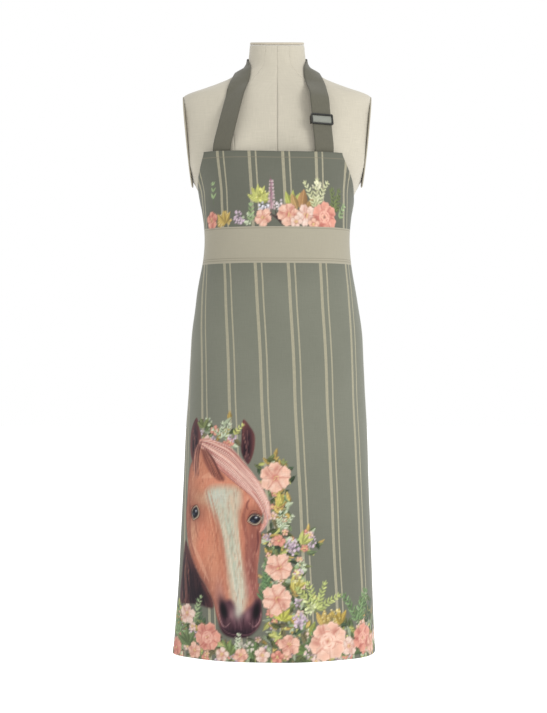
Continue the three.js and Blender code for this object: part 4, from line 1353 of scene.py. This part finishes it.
def draw_beds(design):
    """The leafy ground that the larger flowers stand on."""
    bed(design, [(-168, -84), (-140, -76), (-120, -92), (-92, -76), (-72, -92), (-70, -132),
                 (-110, -132), (-150, -128)], 34, 7)
    bed(design, [(-40, -160), (-10, -148), (20, -160), (34, -210), (28, -260), (38, -296),
                 (66, -284), (84, -310), (58, -340), (52, -380), (70, -404), (66, -450),
                 (40, -470), (-10, -470), (-28, -440), (-30, -380), (-26, -300), (-18, -230)],
        330, 46)
    bed(design, [(-222, -440), (-200, -434), (-176, -462), (-146, -458), (-118, -474),
                 (-104, -500), (-58, -504), (-30, -480), (20, -460), (66, -452), (84, -470),
                 (128, -462), (160, -470), (176, -430), (196, -404), (212, -440), (240, -470),
                 (250, -532), (-230, -532)], 600, 80)


# ---------------------------------------------------------------- apron cloth

VISUAL_CLOTH = 0.8
VISUAL_SHIFT = -2
HEM_FOLD = 12
BAND_LOW = 218
BAND_HIGH = 287
PRINT_STRENGTH = 0.7
PRINT_CONTRAST = 2.6
STRIPE_PITCH = 0.063
STRIPE_WIDE = 0.0058
STRIPE_THIN = 0.0031
STRIPE_GAP = 0.0123
STRIPE_LEAN = 0.054
PRINT_STEP = 2.05
PLAIN_STEP = 6.0


def path_lengths(surface, z, limit=176.0, count=441):
    """Turns round a surface at a height and how far each lies from turn 0."""
    turns = np.linspace(-limit, limit, count)
    points = surface(turns, np.full(count, z))
    run = np.concatenate([[0], np.cumsum(np.linalg.norm(np.diff(points, axis=0), axis=1))])
    return turns, run - run[count // 2]


def cloth_edges(z):
    """How far the cloth reaches to each side of its centre line."""
    fall = np.clip((BIB_TOP_Z - z) / (BIB_TOP_Z - TIE_Z), 0, 1)
    half = BIB_HALF + (SKIRT_HALF - BIB_HALF) * fall**BIB_CURVE
    shift = BIB_SHIFT + (SKIRT_SHIFT - BIB_SHIFT) * fall
    return shift - half, shift + half


def turn_at(length, z):
    """The turn at which the cloth, measured round from its centre line, reaches a length."""
    turns, run = path_lengths(cloth_point, z)
    return np.interp(length, run, turns)


def fold_depth(u, z):
    """Soft vertical folds that start below the hips and grow to the hem."""
    fall = np.clip((HIP_Z - z) / (HIP_Z - HEM_Z), 0, 1)
    drop = fall**1.3
    side = np.clip((np.abs(u) - 70) / 190, 0, 1)
    wave = (
        0.9 * np.sin(u / 34 + 0.6 + 0.5 * fall) + 0.7 * np.sin(u / 21 - 1.1 + 0.8 * fall)
        + 0.5 * np.sin(u / 58 + 2.0)
    )
    skirt = drop * (0.9 + 3.6 * side) * wave
    slack = 1.1 * np.exp(-(((z - 190) / 70) ** 2)) * np.sin(u / 27 + z / 60)
    drag = 0.64 * np.exp(-(((z - 345) / 60) ** 2)) * np.sin((u + 0.6 * z) / 24)
    ripple = 0.35 * np.sin(u / 15 + z / 90) * np.sin(z / 47 + u / 80)
    corner = 9 * drop**3 * np.exp(-(((u + 250) / 60) ** 2))
    return np.clip(skirt, -3.4, 6) + slack + drag + ripple + corner - 1.1


def cloth_row(z, u):
    """Points of the cloth's outer face along one height, with folds and a rolled hem."""
    turns, run = path_lengths(cloth_point, z)
    turn = np.interp(u, run, turns)
    points = cloth_point(turn, np.full(len(u), z))
    normal = surface_normal(cloth_point, turn, np.full(len(u), z), HEM_Z, BIB_TOP_Z + 10)
    near = np.minimum(u - u[0], u[-1] - u)
    near = np.minimum(near, min(z - HEM_Z, BIB_TOP_Z - z))
    hem = 0.55 * np.clip((HEM_FOLD - near) / 1.6, 0, 1) - 0.35 * np.exp(
        -((near - HEM_FOLD - 0.6) / 0.8) ** 2)
    lift = fold_depth(u, z) + hem
    calm = np.clip((BIB_TOP_Z + 6 - z) / 40, 0.25, 1)
    wrap = np.clip((np.abs(turn) - 118) / 30, 0, 1)
    lift = lift * calm * (1 - wrap * 0.75) * (1 - 0.6 * np.exp(-(((z - TIE_Z) / 36) ** 2)))
    points = points + normal * lift[:, None]
    points[:, 0] += VISUAL_SHIFT * np.clip((HIP_Z - z) / 300, 0, 1)
    top = np.clip((z - (BIB_TOP_Z - 60)) / 60, 0, 1)
    points[:, 2] += top * (1.6 * np.clip(-(u + 60) / 60, -1, 1) - 1.0)
    return points, normal


def fine_columns():
    """Shares across the cloth, closest together over the print."""
    span = 2 * SKIRT_HALF
    places = [-SKIRT_HALF + SKIRT_SHIFT]
    while places[-1] < SKIRT_HALF + SKIRT_SHIFT:
        u = places[-1]
        step = PRINT_STEP if -232 < u < 246 else PLAIN_STEP
        places.append(u + step)
    return (np.array(places) - places[0]) / (places[-1] - places[0])


def fine_heights():
    """Heights up the cloth, closest together over the print."""
    z = [float(HEM_Z)]
    while z[-1] < BIB_TOP_Z:
        at = z[-1]
        printed = at < -66 or 284 < at < 408
        step = 2.15 if printed else 5.0
        z.append(at + step)
    z = np.array(z)
    return HEM_Z + (z - HEM_Z) * (BIB_TOP_Z - HEM_Z) / (z[-1] - HEM_Z)


def coarse(count, step):
    """Every so many places of a row, always with the last one."""
    return np.unique(np.append(np.arange(0, count, step), count - 1))


def apron_cloth():
    """One closed cloth: a fine printed front and a coarser plain back."""
    shares, heights = fine_columns(), fine_heights()
    fronts, normals, flats = [], [], []
    for z in heights:
        low, high = cloth_edges(z)
        u = low + (high - low) * shares
        points, normal = cloth_row(z, u)
        fronts.append(points)
        normals.append(normal)
        flats.append(np.stack([u, np.full(len(u), z), np.zeros(len(u))], -1))
    front, normal, flat = (np.array(x) for x in (fronts, normals, flats))
    rows, columns = front.shape[:2]
    back_rows, back_columns = coarse(rows, 4), coarse(columns, 4)
    pick = np.ix_(back_rows, back_columns)
    edge = np.minimum.reduce([
        flat[..., 0] - flat[:, :1, 0], flat[:, -1:, 0] - flat[..., 0],
        flat[..., 1] - HEM_Z, BIB_TOP_Z - flat[..., 1],
    ])
    thick = VISUAL_CLOTH + 0.7 * (edge < HEM_FOLD)
    back = (front - normal * thick[..., None])[pick]

    points = np.concatenate([front.reshape(-1, 3), back.reshape(-1, 3)])
    front_at = np.arange(rows * columns).reshape(rows, columns)
    back_at = front_at.size + np.arange(back[..., 0].size).reshape(back.shape[:2])
    faces = []
    for i in range(rows - 1):
        a, b = front_at[i], front_at[i + 1]
        faces += list(zip(a[:-1].tolist(), a[1:].tolist(), b[1:].tolist(), b[:-1].tolist()))
    for i in range(len(back_rows) - 1):
        a, b = back_at[i], back_at[i + 1]
        faces += list(zip(a[:-1].tolist(), b[:-1].tolist(), b[1:].tolist(), a[1:].tolist()))
    faces += edge_faces(front_at, back_at, back_rows, back_columns)

    sheet = np.concatenate([flat.reshape(-1, 3), flat[pick].reshape(-1, 3)])
    obj = new_mesh("apron_cloth", points, faces, apron_material(), flat=sheet * MM)
    face_out(obj)
    paint(obj, flat.reshape(-1, 3), len(points))
    return obj


def edge_faces(front_at, back_at, back_rows, back_columns):
    """Faces of the cloth's cut edge, each from one back step to the fine front steps."""
    faces = []
    last_row, last_column = front_at.shape[0] - 1, front_at.shape[1] - 1
    for k in range(len(back_columns) - 1):
        a, b = back_columns[k], back_columns[k + 1]
        run = front_at[0, a:b + 1].tolist()
        faces.append(run[::-1] + [int(back_at[0, k]), int(back_at[0, k + 1])])
        run = front_at[last_row, a:b + 1].tolist()
        faces.append(run + [int(back_at[-1, k + 1]), int(back_at[-1, k])])
    for k in range(len(back_rows) - 1):
        a, b = back_rows[k], back_rows[k + 1]
        run = front_at[a:b + 1, 0].tolist()
        faces.append(run + [int(back_at[k + 1, 0]), int(back_at[k, 0])])
        run = front_at[a:b + 1, last_column].tolist()
        faces.append(run[::-1] + [int(back_at[k, -1]), int(back_at[k + 1, -1])])
    return faces


def paint(obj, places, total):
    """Writes the drawn print on the cloth's front as a colour with cover."""
    design = Print(places[:, 0], places[:, 1])
    draw_beds(design)
    draw_horse(design)
    draw_skirt(design)
    draw_bib(design)
    drawn = design.cover.copy()
    clear = np.clip((BAND_HIGH - design.z) / 1.0, 0, 1) * (design.z > BAND_LOW)
    spill = (design.u < -112) * (design.z > BAND_HIGH - 12)
    design.cover *= 1 - clear * (1 - spill)
    shown = design.colour / np.maximum(drawn, 0.02)[:, None]
    ink = PRINT_STRENGTH * np.clip(shown / 255, 0, 1) ** PRINT_CONTRAST * design.cover[:, None]
    rgba = np.zeros((total, 4), np.float32)
    rgba[:, 3] = 1
    rgba[: len(places), :3] = ink
    cover = np.zeros(total, np.float32)
    cover[: len(places)] = design.cover
    obj.data.attributes.new("print", "FLOAT_COLOR", "POINT").data.foreach_set(
        "color", rgba.ravel())
    obj.data.attributes.new("cover", "FLOAT", "POINT").data.foreach_set("value", cover)


def apron_material():
    """Sage cloth with woven stripes, a pale band and the printed design."""
    nodes = Nodes("apron_cloth")
    at = nodes.place("flat")
    split = nodes.add("ShaderNodeSeparateXYZ")
    nodes.wire(at, split.inputs[0])
    u, z = split.outputs["X"], split.outputs["Y"]
    warp = nodes.noise(at, 900, (1, 0.04, 1), 2.0)
    weft = nodes.noise(at, 900, (0.04, 1, 1), 2.0)
    broad = nodes.noise(at, 5, detail=3.0)
    threads = nodes.math("MULTIPLY_ADD", warp, 0.5, nodes.math("MULTIPLY", weft, 0.5))
    by = nodes.math("MULTIPLY_ADD", broad, 0.5, nodes.math("MULTIPLY", threads, 0.5))
    cloth = nodes.mix(by, linear(84, 86, 75), linear(112, 113, 101))

    middle = nodes.math("ADD", u, -0.028 - STRIPE_LEAN * 0.127)
    lean = nodes.math("MULTIPLY_ADD", z, STRIPE_LEAN, middle)
    wobble = nodes.math("MULTIPLY_ADD", nodes.noise(at, 6, (0.2, 1, 1), 1.0), 0.004, lean)
    worn = nodes.noise(at, 300, (1, 0.5, 1), 3.0)
    stripes = nodes.math("MAXIMUM", stripe(nodes, wobble, 0.0, STRIPE_WIDE),
                         stripe(nodes, wobble, STRIPE_GAP, STRIPE_THIN))
    faded = nodes.math("MULTIPLY_ADD", worn, 0.6, 0.4)
    toned = nodes.add("ShaderNodeVectorMath", operation="SCALE")
    nodes.wire(cloth, toned.inputs[0])
    # Darkens the plain cloth: painted shade on the bib, and darker towards the hem.
    nodes.wire(bib_shade_and_hem_tone(nodes, z), toned.inputs["Scale"])
    cloth = toned.outputs[0]
    striped = nodes.mix(nodes.math("MULTIPLY", stripes, faded), cloth, linear(152, 146, 124))

    band_tone = nodes.mix(by, linear(130, 125, 110), linear(154, 149, 132))
    in_band = nodes.math("MULTIPLY", nodes.math("GREATER_THAN", z, BAND_LOW * MM),
                         nodes.math("LESS_THAN", z, BAND_HIGH * MM))
    banded = nodes.mix(in_band, striped, band_tone)
    line = thread_lines(nodes, z)
    lined = nodes.mix(nodes.math("MULTIPLY", line, 0.55), banded, linear(114, 108, 92))

    drawn = nodes.add("ShaderNodeAttribute", attribute_name="print")
    grain = nodes.math("MULTIPLY_ADD", threads, 0.5, 0.75)
    inked = nodes.add("ShaderNodeVectorMath", operation="SCALE")
    nodes.wire(drawn.outputs["Color"], inked.inputs[0])
    nodes.wire(grain, inked.inputs["Scale"])
    covered = nodes.add("ShaderNodeAttribute", attribute_name="cover").outputs["Fac"]
    bare = nodes.mix(covered, lined, (0.0, 0.0, 0.0, 1.0))
    both = nodes.add("ShaderNodeVectorMath", operation="ADD")
    nodes.wire(bare, both.inputs[0])
    nodes.wire(inked.outputs[0], both.inputs[1])
    nodes.wire(both.outputs[0], nodes.shader.inputs["Base Color"])
    nodes.shader.inputs["Roughness"].default_value = 0.86
    nodes.shader.inputs["Sheen Weight"].default_value = 0.15
    nodes.shader.inputs["Sheen Roughness"].default_value = 0.5
    nodes.shader.inputs["Specular IOR Level"].default_value = 0.2
    nodes.bump(threads, 0.4, 0.0004)
    return nodes.material


def ease_in(nodes, value, start, stop):
    """0 before a start, 1 past a stop, and smooth between."""
    node = nodes.add("ShaderNodeMapRange", interpolation_type="SMOOTHSTEP")
    node.inputs["From Min"].default_value = start
    node.inputs["From Max"].default_value = stop
    nodes.wire(value, node.inputs["Value"])
    return node.outputs["Result"]


def bib_shade_and_hem_tone(nodes, z):
    """Painted shade on the bib, and the cloth darker towards the hem."""
    # Painted shade: the bib is darkened above the waist.
    bib = nodes.math("MULTIPLY_ADD", ease_in(nodes, z, 0.15, 0.30), -0.3, 1.08)
    skirt = nodes.math("SUBTRACT", 0.0, z)
    return nodes.math("MULTIPLY_ADD", ease_in(nodes, skirt, 0.05, 0.45), -0.2, bib)


def stripe(nodes, along, start, width):
    """1 inside a stripe that repeats across the cloth."""
    moved = nodes.math("ADD", along, 20 * STRIPE_PITCH - start + width / 2)
    phase = nodes.math("MODULO", moved, STRIPE_PITCH)
    return nodes.math("LESS_THAN", phase, width)


def thread_lines(nodes, z):
    """1 on the thin lines along the band's edges and on the hems' stitching."""
    total = 0.0
    levels = (BAND_LOW + 5, BAND_LOW + 9, BAND_HIGH - 3, BIB_TOP_Z - HEM_FOLD, HEM_Z + HEM_FOLD)
    for level in levels:
        away = nodes.math("ABSOLUTE", nodes.math("SUBTRACT", z, level * MM))
        total = nodes.math("ADD", nodes.math("LESS_THAN", away, 0.0008), total)
    return total


cloth = apron_cloth()
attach(cloth, "form")
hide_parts("apron_panel")

# ---------------------------------------------------------------- webbing

STRAP_LEFT = -104
STRAP_RIGHT = 88
STRAP_ROOM = WEBBING_WIDTH**2 / 380
BEHIND_CLOTH = CLOTH_THICKNESS + WEBBING_THICKNESS + STRAP_ROOM
STRAP_END_Z = BIB_TOP_Z - 28
STRAP_LIFT = 2.1
VISUAL_WEBBING = 1.5
SLIDE_HIGH = np.array([80.0, -99, 534])
SLIDE_SHARE = 0.52

sample_turns, sample_heights = np.meshgrid(np.arange(0, 360, 3), dense([300, NECK_TOP_Z], 4))
form_samples = form_lifted(sample_turns, sample_heights, np.zeros_like(sample_heights)).reshape(-1, 3)
form_normals = surface_normal(form_point, sample_turns, sample_heights, BASE_Z,
                              NECK_TOP_Z).reshape(-1, 3)


def nearest_form(points):
    """The nearest torso samples to points, and their normals."""
    chosen = [int(np.argmin(((form_samples - p) ** 2).sum(1))) for p in points]
    return form_samples[chosen], form_normals[chosen]


def clear_of_form(points, lift):
    """Moves points out until they lie a lift above the torso."""
    base, normal = nearest_form(points)
    height = ((points - base) * normal).sum(1)
    return points + normal * np.maximum(lift - height, 0)[:, None]


def behind_bib(x, z):
    """A point behind the bib."""
    half = half_width(z) + side_ease(z)
    front = front_depth(z) + front_ease(z)
    depth = front * (1 - (abs(x) / half) ** FULLNESS) ** (1 / FULLNESS)
    return np.array([x, BEHIND_CLOTH - depth, z])


def chest_face(x):
    """The way a chest strap faces: square to the bib where it is sewn on."""
    start = behind_bib(x - WEBBING_WIDTH / 2, BIB_TOP_Z - 14)
    stop = behind_bib(x + WEBBING_WIDTH / 2, BIB_TOP_Z - 14)
    tilt = (stop[1] - start[1]) / (stop[0] - start[0])
    return unit(np.array([tilt, -1, 0.33]))


SLIDE_LOW = behind_bib(STRAP_RIGHT, BIB_TOP_Z) + [0, 0, 10]
slide_axis = unit(SLIDE_HIGH - SLIDE_LOW)
slide_place = SLIDE_LOW + (SLIDE_HIGH - SLIDE_LOW) * SLIDE_SHARE
slide_across = unit(np.cross(slide_axis, chest_face(STRAP_RIGHT)))
slide_out = np.cross(slide_across, slide_axis)

STRAP_ROUTE = [
    behind_bib(STRAP_LEFT, STRAP_END_Z), behind_bib(STRAP_LEFT, BIB_TOP_Z) + [0, 0, 8],
    (-95, -117, 475), (-86, -98, 515), (-76, -70, 556), (-66, -38, 585), (-60, 0, 604),
    (-52, 36, 610), (-30, 62, 608), (0, 70, 606), (30, 62, 608), (52, 36, 610), (60, 0, 604),
    (66, -36, 586), (74, -68, 562), SLIDE_HIGH,
    SLIDE_LOW + (SLIDE_HIGH - SLIDE_LOW) * 0.75, slide_place,
    SLIDE_LOW + (SLIDE_HIGH - SLIDE_LOW) * 0.25, SLIDE_LOW,
    behind_bib(STRAP_RIGHT, STRAP_END_Z),
]


def along_route(route, count):
    """Evenly spaced places on a centripetal curve through a route, and their directions."""
    p = np.array(route, float)
    p = np.concatenate([[2 * p[0] - p[1]], p, [2 * p[-1] - p[-2]]])
    places = []
    for i in range(1, len(p) - 2):
        knots = np.concatenate([[0], np.cumsum(
            np.linalg.norm(np.diff(p[i - 1:i + 3], axis=0), axis=1) ** 0.5)])
        for t in np.linspace(knots[1], knots[2], 24, endpoint=False):
            level = [p[i - 1 + k] for k in range(4)]
            for size in (1, 2, 3):
                nxt = []
                for k in range(len(level) - 1):
                    if size == 3:
                        low, high = knots[1], knots[2]
                    else:
                        low, high = knots[k], knots[k + size]
                    share = (t - low) / (high - low)
                    nxt.append(level[k] * (1 - share) + level[k + 1] * share)
                level = nxt
            places.append(level[0])
    places = np.array(places + [p[-2]])
    run = np.concatenate([[0], np.cumsum(np.linalg.norm(np.diff(places, axis=0), axis=1))])
    at = np.linspace(0, run[-1], count)
    line = np.stack([np.interp(at, run, places[:, k]) for k in range(3)], 1)
    return line, unit(np.gradient(line, axis=0)), at


def smooth_step(value, low, high):
    """0 below a low, 1 above a high, and smooth between."""
    share = np.clip((value - low) / (high - low), 0, 1)
    return share * share * (3 - 2 * share)


def band_flat(at, shares, width):
    """Places along and across a band of webbing, in metres."""
    run, across = np.meshgrid(at, shares * width, indexing="ij")
    return np.stack([across, run, np.zeros_like(run)], -1) * MM


def band_profile(shares):
    """How thick a webbing is across its width: rounded at the selvedges."""
    near = 0.5 - np.abs(shares)
    return VISUAL_WEBBING * np.clip(0.45 + near / 0.03 * 0.55, 0, 1)


BAND_SHARES = np.array([-0.5, -0.485, -0.465, -0.36, -0.24, -0.12, 0, 0.12, 0.24, 0.36, 0.465,
                        0.485, 0.5])


def neck_strap():
    """The neck strap: up from one corner, round the neck and down to the other."""
    line, along, at = along_route(STRAP_ROUTE, 280)
    _, lying = nearest_form(line)
    share = smooth_step(line[:, 2], 540, 585)[:, None]
    chest = np.where((line[:, 0] < 0)[:, None], chest_face(STRAP_LEFT), chest_face(STRAP_RIGHT))
    face = unit(chest * (1 - share) + lying * share)
    across = unit(np.cross(along, face))
    normal = np.cross(across, along)
    inner = np.stack([
        clear_of_form(line + across * (s * WEBBING_WIDTH), STRAP_LIFT) for s in BAND_SHARES
    ], 1)
    for _ in range(2):
        inner[1:-1] = (inner[:-2] + 2 * inner[1:-1] + inner[2:]) / 4
    thick = band_profile(BAND_SHARES)[None, :, None]
    outer = inner + normal[:, None] * thick
    flat = band_flat(at, BAND_SHARES, WEBBING_WIDTH)
    piece = slab("neck_strap", outer, inner, webbing, flat)
    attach(piece, "form")
    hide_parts("neck_strap")


def slider_webbing():
    """The strap's end, folded over the slider's bar and seen in its window."""
    run = np.linspace(-1, 1, 25)
    shares = BAND_SHARES * 0.985
    rise = 1.75 + 1.5 * np.cos(run * math.pi / 2) ** 0.6
    place = (slide_place + slide_axis * run[:, None] * 7.4 + slide_out * rise[:, None])
    outer = np.stack([place + slide_across * (s * WEBBING_WIDTH) for s in shares], 1)
    inner = outer - slide_out * (band_profile(BAND_SHARES) * 0.6)[None, :, None]
    flat = band_flat(run * 8.6, shares, WEBBING_WIDTH)
    # Painted light: the strap in the slider's window gets the lighter copy of the webbing.
    piece = slab("slider_webbing", outer, inner, webbing_painted_light, flat)
    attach(piece, "slider")


# ---------------------------------------------------------------- waist ties and bow

TIE_LIFT = 1.2
KNOT_HALF = 17
KNOT_DEPTH = 9
KNOT_GAP = 1.5
LOOP_LENGTH = 105
LOOP_HEIGHT = 26
LOOP_WIDTH = WEBBING_WIDTH - 6
LOOP_TILT = 12
LOOP_DROOP = 2.0
LOOP_OUT = 4
BOW_STANDOFF = 6
TAIL_LENGTH = 360
TAIL_DROP = 45
TAIL_START = 24
TAIL_SPREAD = 26
KNOT_Y = float(cloth_point(180, TIE_MIDDLE - WEBBING_WIDTH / 2)[1])


def cloth_lifted(turn, z, lift):
    """The apron's outer face moved out along its normal."""
    normal = surface_normal(cloth_point, turn, z, HEM_Z, BIB_TOP_Z + 10)
    return cloth_point(turn, z) + normal * np.asarray(lift)[..., None]


def run_of(points):
    """How far each row of a band lies from its start, down its middle."""
    middle = points[:, points.shape[1] // 2]
    return np.concatenate([[0], np.cumsum(np.linalg.norm(np.diff(middle, axis=0), axis=1))])


def band(name, outer, inner, node, width=WEBBING_WIDTH):
    """One length of webbing as a sheet that replaces its CAD piece."""
    at = run_of(outer)
    piece = slab(name, outer, inner, webbing, band_flat(at, BAND_SHARES, width))
    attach(piece, "form")
    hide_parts(node)


def waist_tie(place, sign):
    """A tie from the apron's corner to the knot, drawn together as it nears the knot."""
    start = float(turn_at(sign * (SKIRT_HALF - 32), TIE_Z))
    stop = sign * (180 - math.degrees(KNOT_GAP / SKIRT_HALF))
    share = np.linspace(0, 1, 60)
    turn, across = np.meshgrid(start + (stop - start) * share, BAND_SHARES, indexing="ij")
    gather = smooth_step(share, 0.62, 1.0)[:, None]
    width = WEBBING_WIDTH * (1 - 0.34 * gather)
    z = TIE_MIDDLE + across * width
    crease = 1.3 * gather * (1 + np.cos(across * 4 * math.pi * 1.5))
    sag = 0.5 * np.sin(share * 9)[:, None] * (1 - gather)
    inner = cloth_lifted(turn, z, TIE_LIFT + crease + np.abs(sag))
    outer = cloth_lifted(turn, z, TIE_LIFT + crease + np.abs(sag) + band_profile(across))
    band(f"waist_tie_{place}", outer, inner, f"waist_tie_{place}")


def bow_loop(place, sign):
    """A loop of the bow, pinched at the knot and open at its end."""
    angle = np.linspace(0.25, 2 * math.pi - 0.25, 90)
    along = (1 - np.cos(angle)) / 2
    bulge = np.sin(angle) * np.sqrt(0.15 + 0.85 * along)
    pinch = 0.62 + 0.38 * smooth_step(along, 0.0, 0.45)
    rows = {}
    for key, inset in (("outer", 0.0), ("inner", VISUAL_WEBBING)):
        x = inset + along * (LOOP_LENGTH - 2 * inset)
        y = bulge * (LOOP_HEIGHT / 2 - inset)
        level = BAND_SHARES[None, :] * LOOP_WIDTH * pinch[:, None]
        cup = 1.2 * np.cos(BAND_SHARES * 2 * math.pi)[None, :] * (1 - along)[:, None]
        rows[key] = np.stack([
            np.broadcast_to(x[:, None], level.shape),
            y[:, None] + cup * np.sign(y)[:, None] * 0.5, level], -1)
    tilt = math.radians(LOOP_TILT)
    placed = {}
    for key, grid in rows.items():
        x = grid[..., 0] * math.cos(tilt) + grid[..., 2] * math.sin(tilt)
        z = -grid[..., 0] * math.sin(tilt) + grid[..., 2] * math.cos(tilt)
        z = z - LOOP_DROOP * (grid[..., 0] / LOOP_LENGTH) ** 2
        y = grid[..., 1] + KNOT_Y + LOOP_HEIGHT / 2 + BOW_STANDOFF
        placed[key] = np.stack([sign * (x + KNOT_HALF + CLEARANCE + LOOP_OUT), y, z + TIE_MIDDLE], -1)
    band(f"bow_loop_{place}", placed["outer"], placed["inner"], f"bow_loop_{place}",
         LOOP_WIDTH)


def bow_tail(place, sign):
    """A tail that falls from the knot over the back of the torso."""
    share = np.linspace(0, 1, 110)
    down, across = np.meshgrid(share, BAND_SHARES, indexing="ij")
    pinch = 0.55 + 0.45 * smooth_step(down, 0, 0.16)
    z = TIE_Z - TAIL_DROP - down * TAIL_LENGTH
    swing = 2.2 * np.sin(down * 7.5 + sign) * down
    x = sign * (TAIL_START + TAIL_SPREAD * np.sqrt(down)) + across * WEBBING_WIDTH * pinch + swing
    below = cloth_point(180, HIP_Z + 20)[1]
    back = np.where(z < HIP_Z, np.maximum(cloth_point(180, z)[..., 1], below),
                    cloth_point(180, z)[..., 1])
    curl = 1.4 * np.cos(across * 2 * math.pi) * (1 - smooth_step(down, 0, 0.25))
    wave = 1.5 * np.sin(down * 11 + 1.3 * sign) * smooth_step(down, 0.3, 0.7)
    hem = 0.9 * (down > 0.985)
    inner = np.stack([x, back + BOW_STANDOFF + curl + wave, z], -1)
    outer = inner + np.stack([0 * x, band_profile(across) + hem, 0 * x], -1)
    band(f"bow_tail_{place}", outer, inner, f"bow_tail_{place}")


def bow_knot():
    """The knot: one turn of webbing round the others, creased from top to bottom."""
    centre = KNOT_Y + TIE_LIFT + WEBBING_THICKNESS + CLEARANCE + KNOT_DEPTH + 0.5
    level = np.linspace(-1, 1, 41)
    angle = np.radians(np.arange(0, 360, 5))
    half = WEBBING_WIDTH / 2 - 3
    points = []
    for v in level:
        ring = (1 - abs(v) ** 2.6) ** 0.5 if abs(v) < 1 else 0.05
        crease = 1 - 0.07 * (1 + np.cos(angle * 7 + 1.6 * v)) * ring
        slope = 1.6 * np.sin(angle) * (1 - v * v)
        points.append(np.stack([
            KNOT_HALF * ring * np.cos(angle) * crease,
            centre + KNOT_DEPTH * ring * np.sin(angle) * crease,
            TIE_MIDDLE + half * v + slope + 0 * angle], -1))
    count = len(angle)
    points = np.concatenate(points)
    faces = [
        (i * count + j, i * count + (j + 1) % count, (i + 1) * count + (j + 1) % count,
         (i + 1) * count + j)
        for i in range(len(level) - 1) for j in range(count)
    ]
    faces += [list(range(count))[::-1], [(len(level) - 1) * count + j for j in range(count)]]
    around = np.tile(angle * 13, len(level))
    up = np.repeat(level * half, count)
    flat = np.stack([up, around, 0 * up], -1) * MM
    piece = new_mesh("bow_knot", points, faces, webbing, flat=flat)
    face_out(piece)
    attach(piece, "form")
    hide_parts("bow_knot")


neck_strap()
slider_webbing()
for side_name, side_sign in (("left", -1), ("right", 1)):
    waist_tie(side_name, side_sign)
    bow_loop(side_name, side_sign)
    bow_tail(side_name, side_sign)
bow_knot()
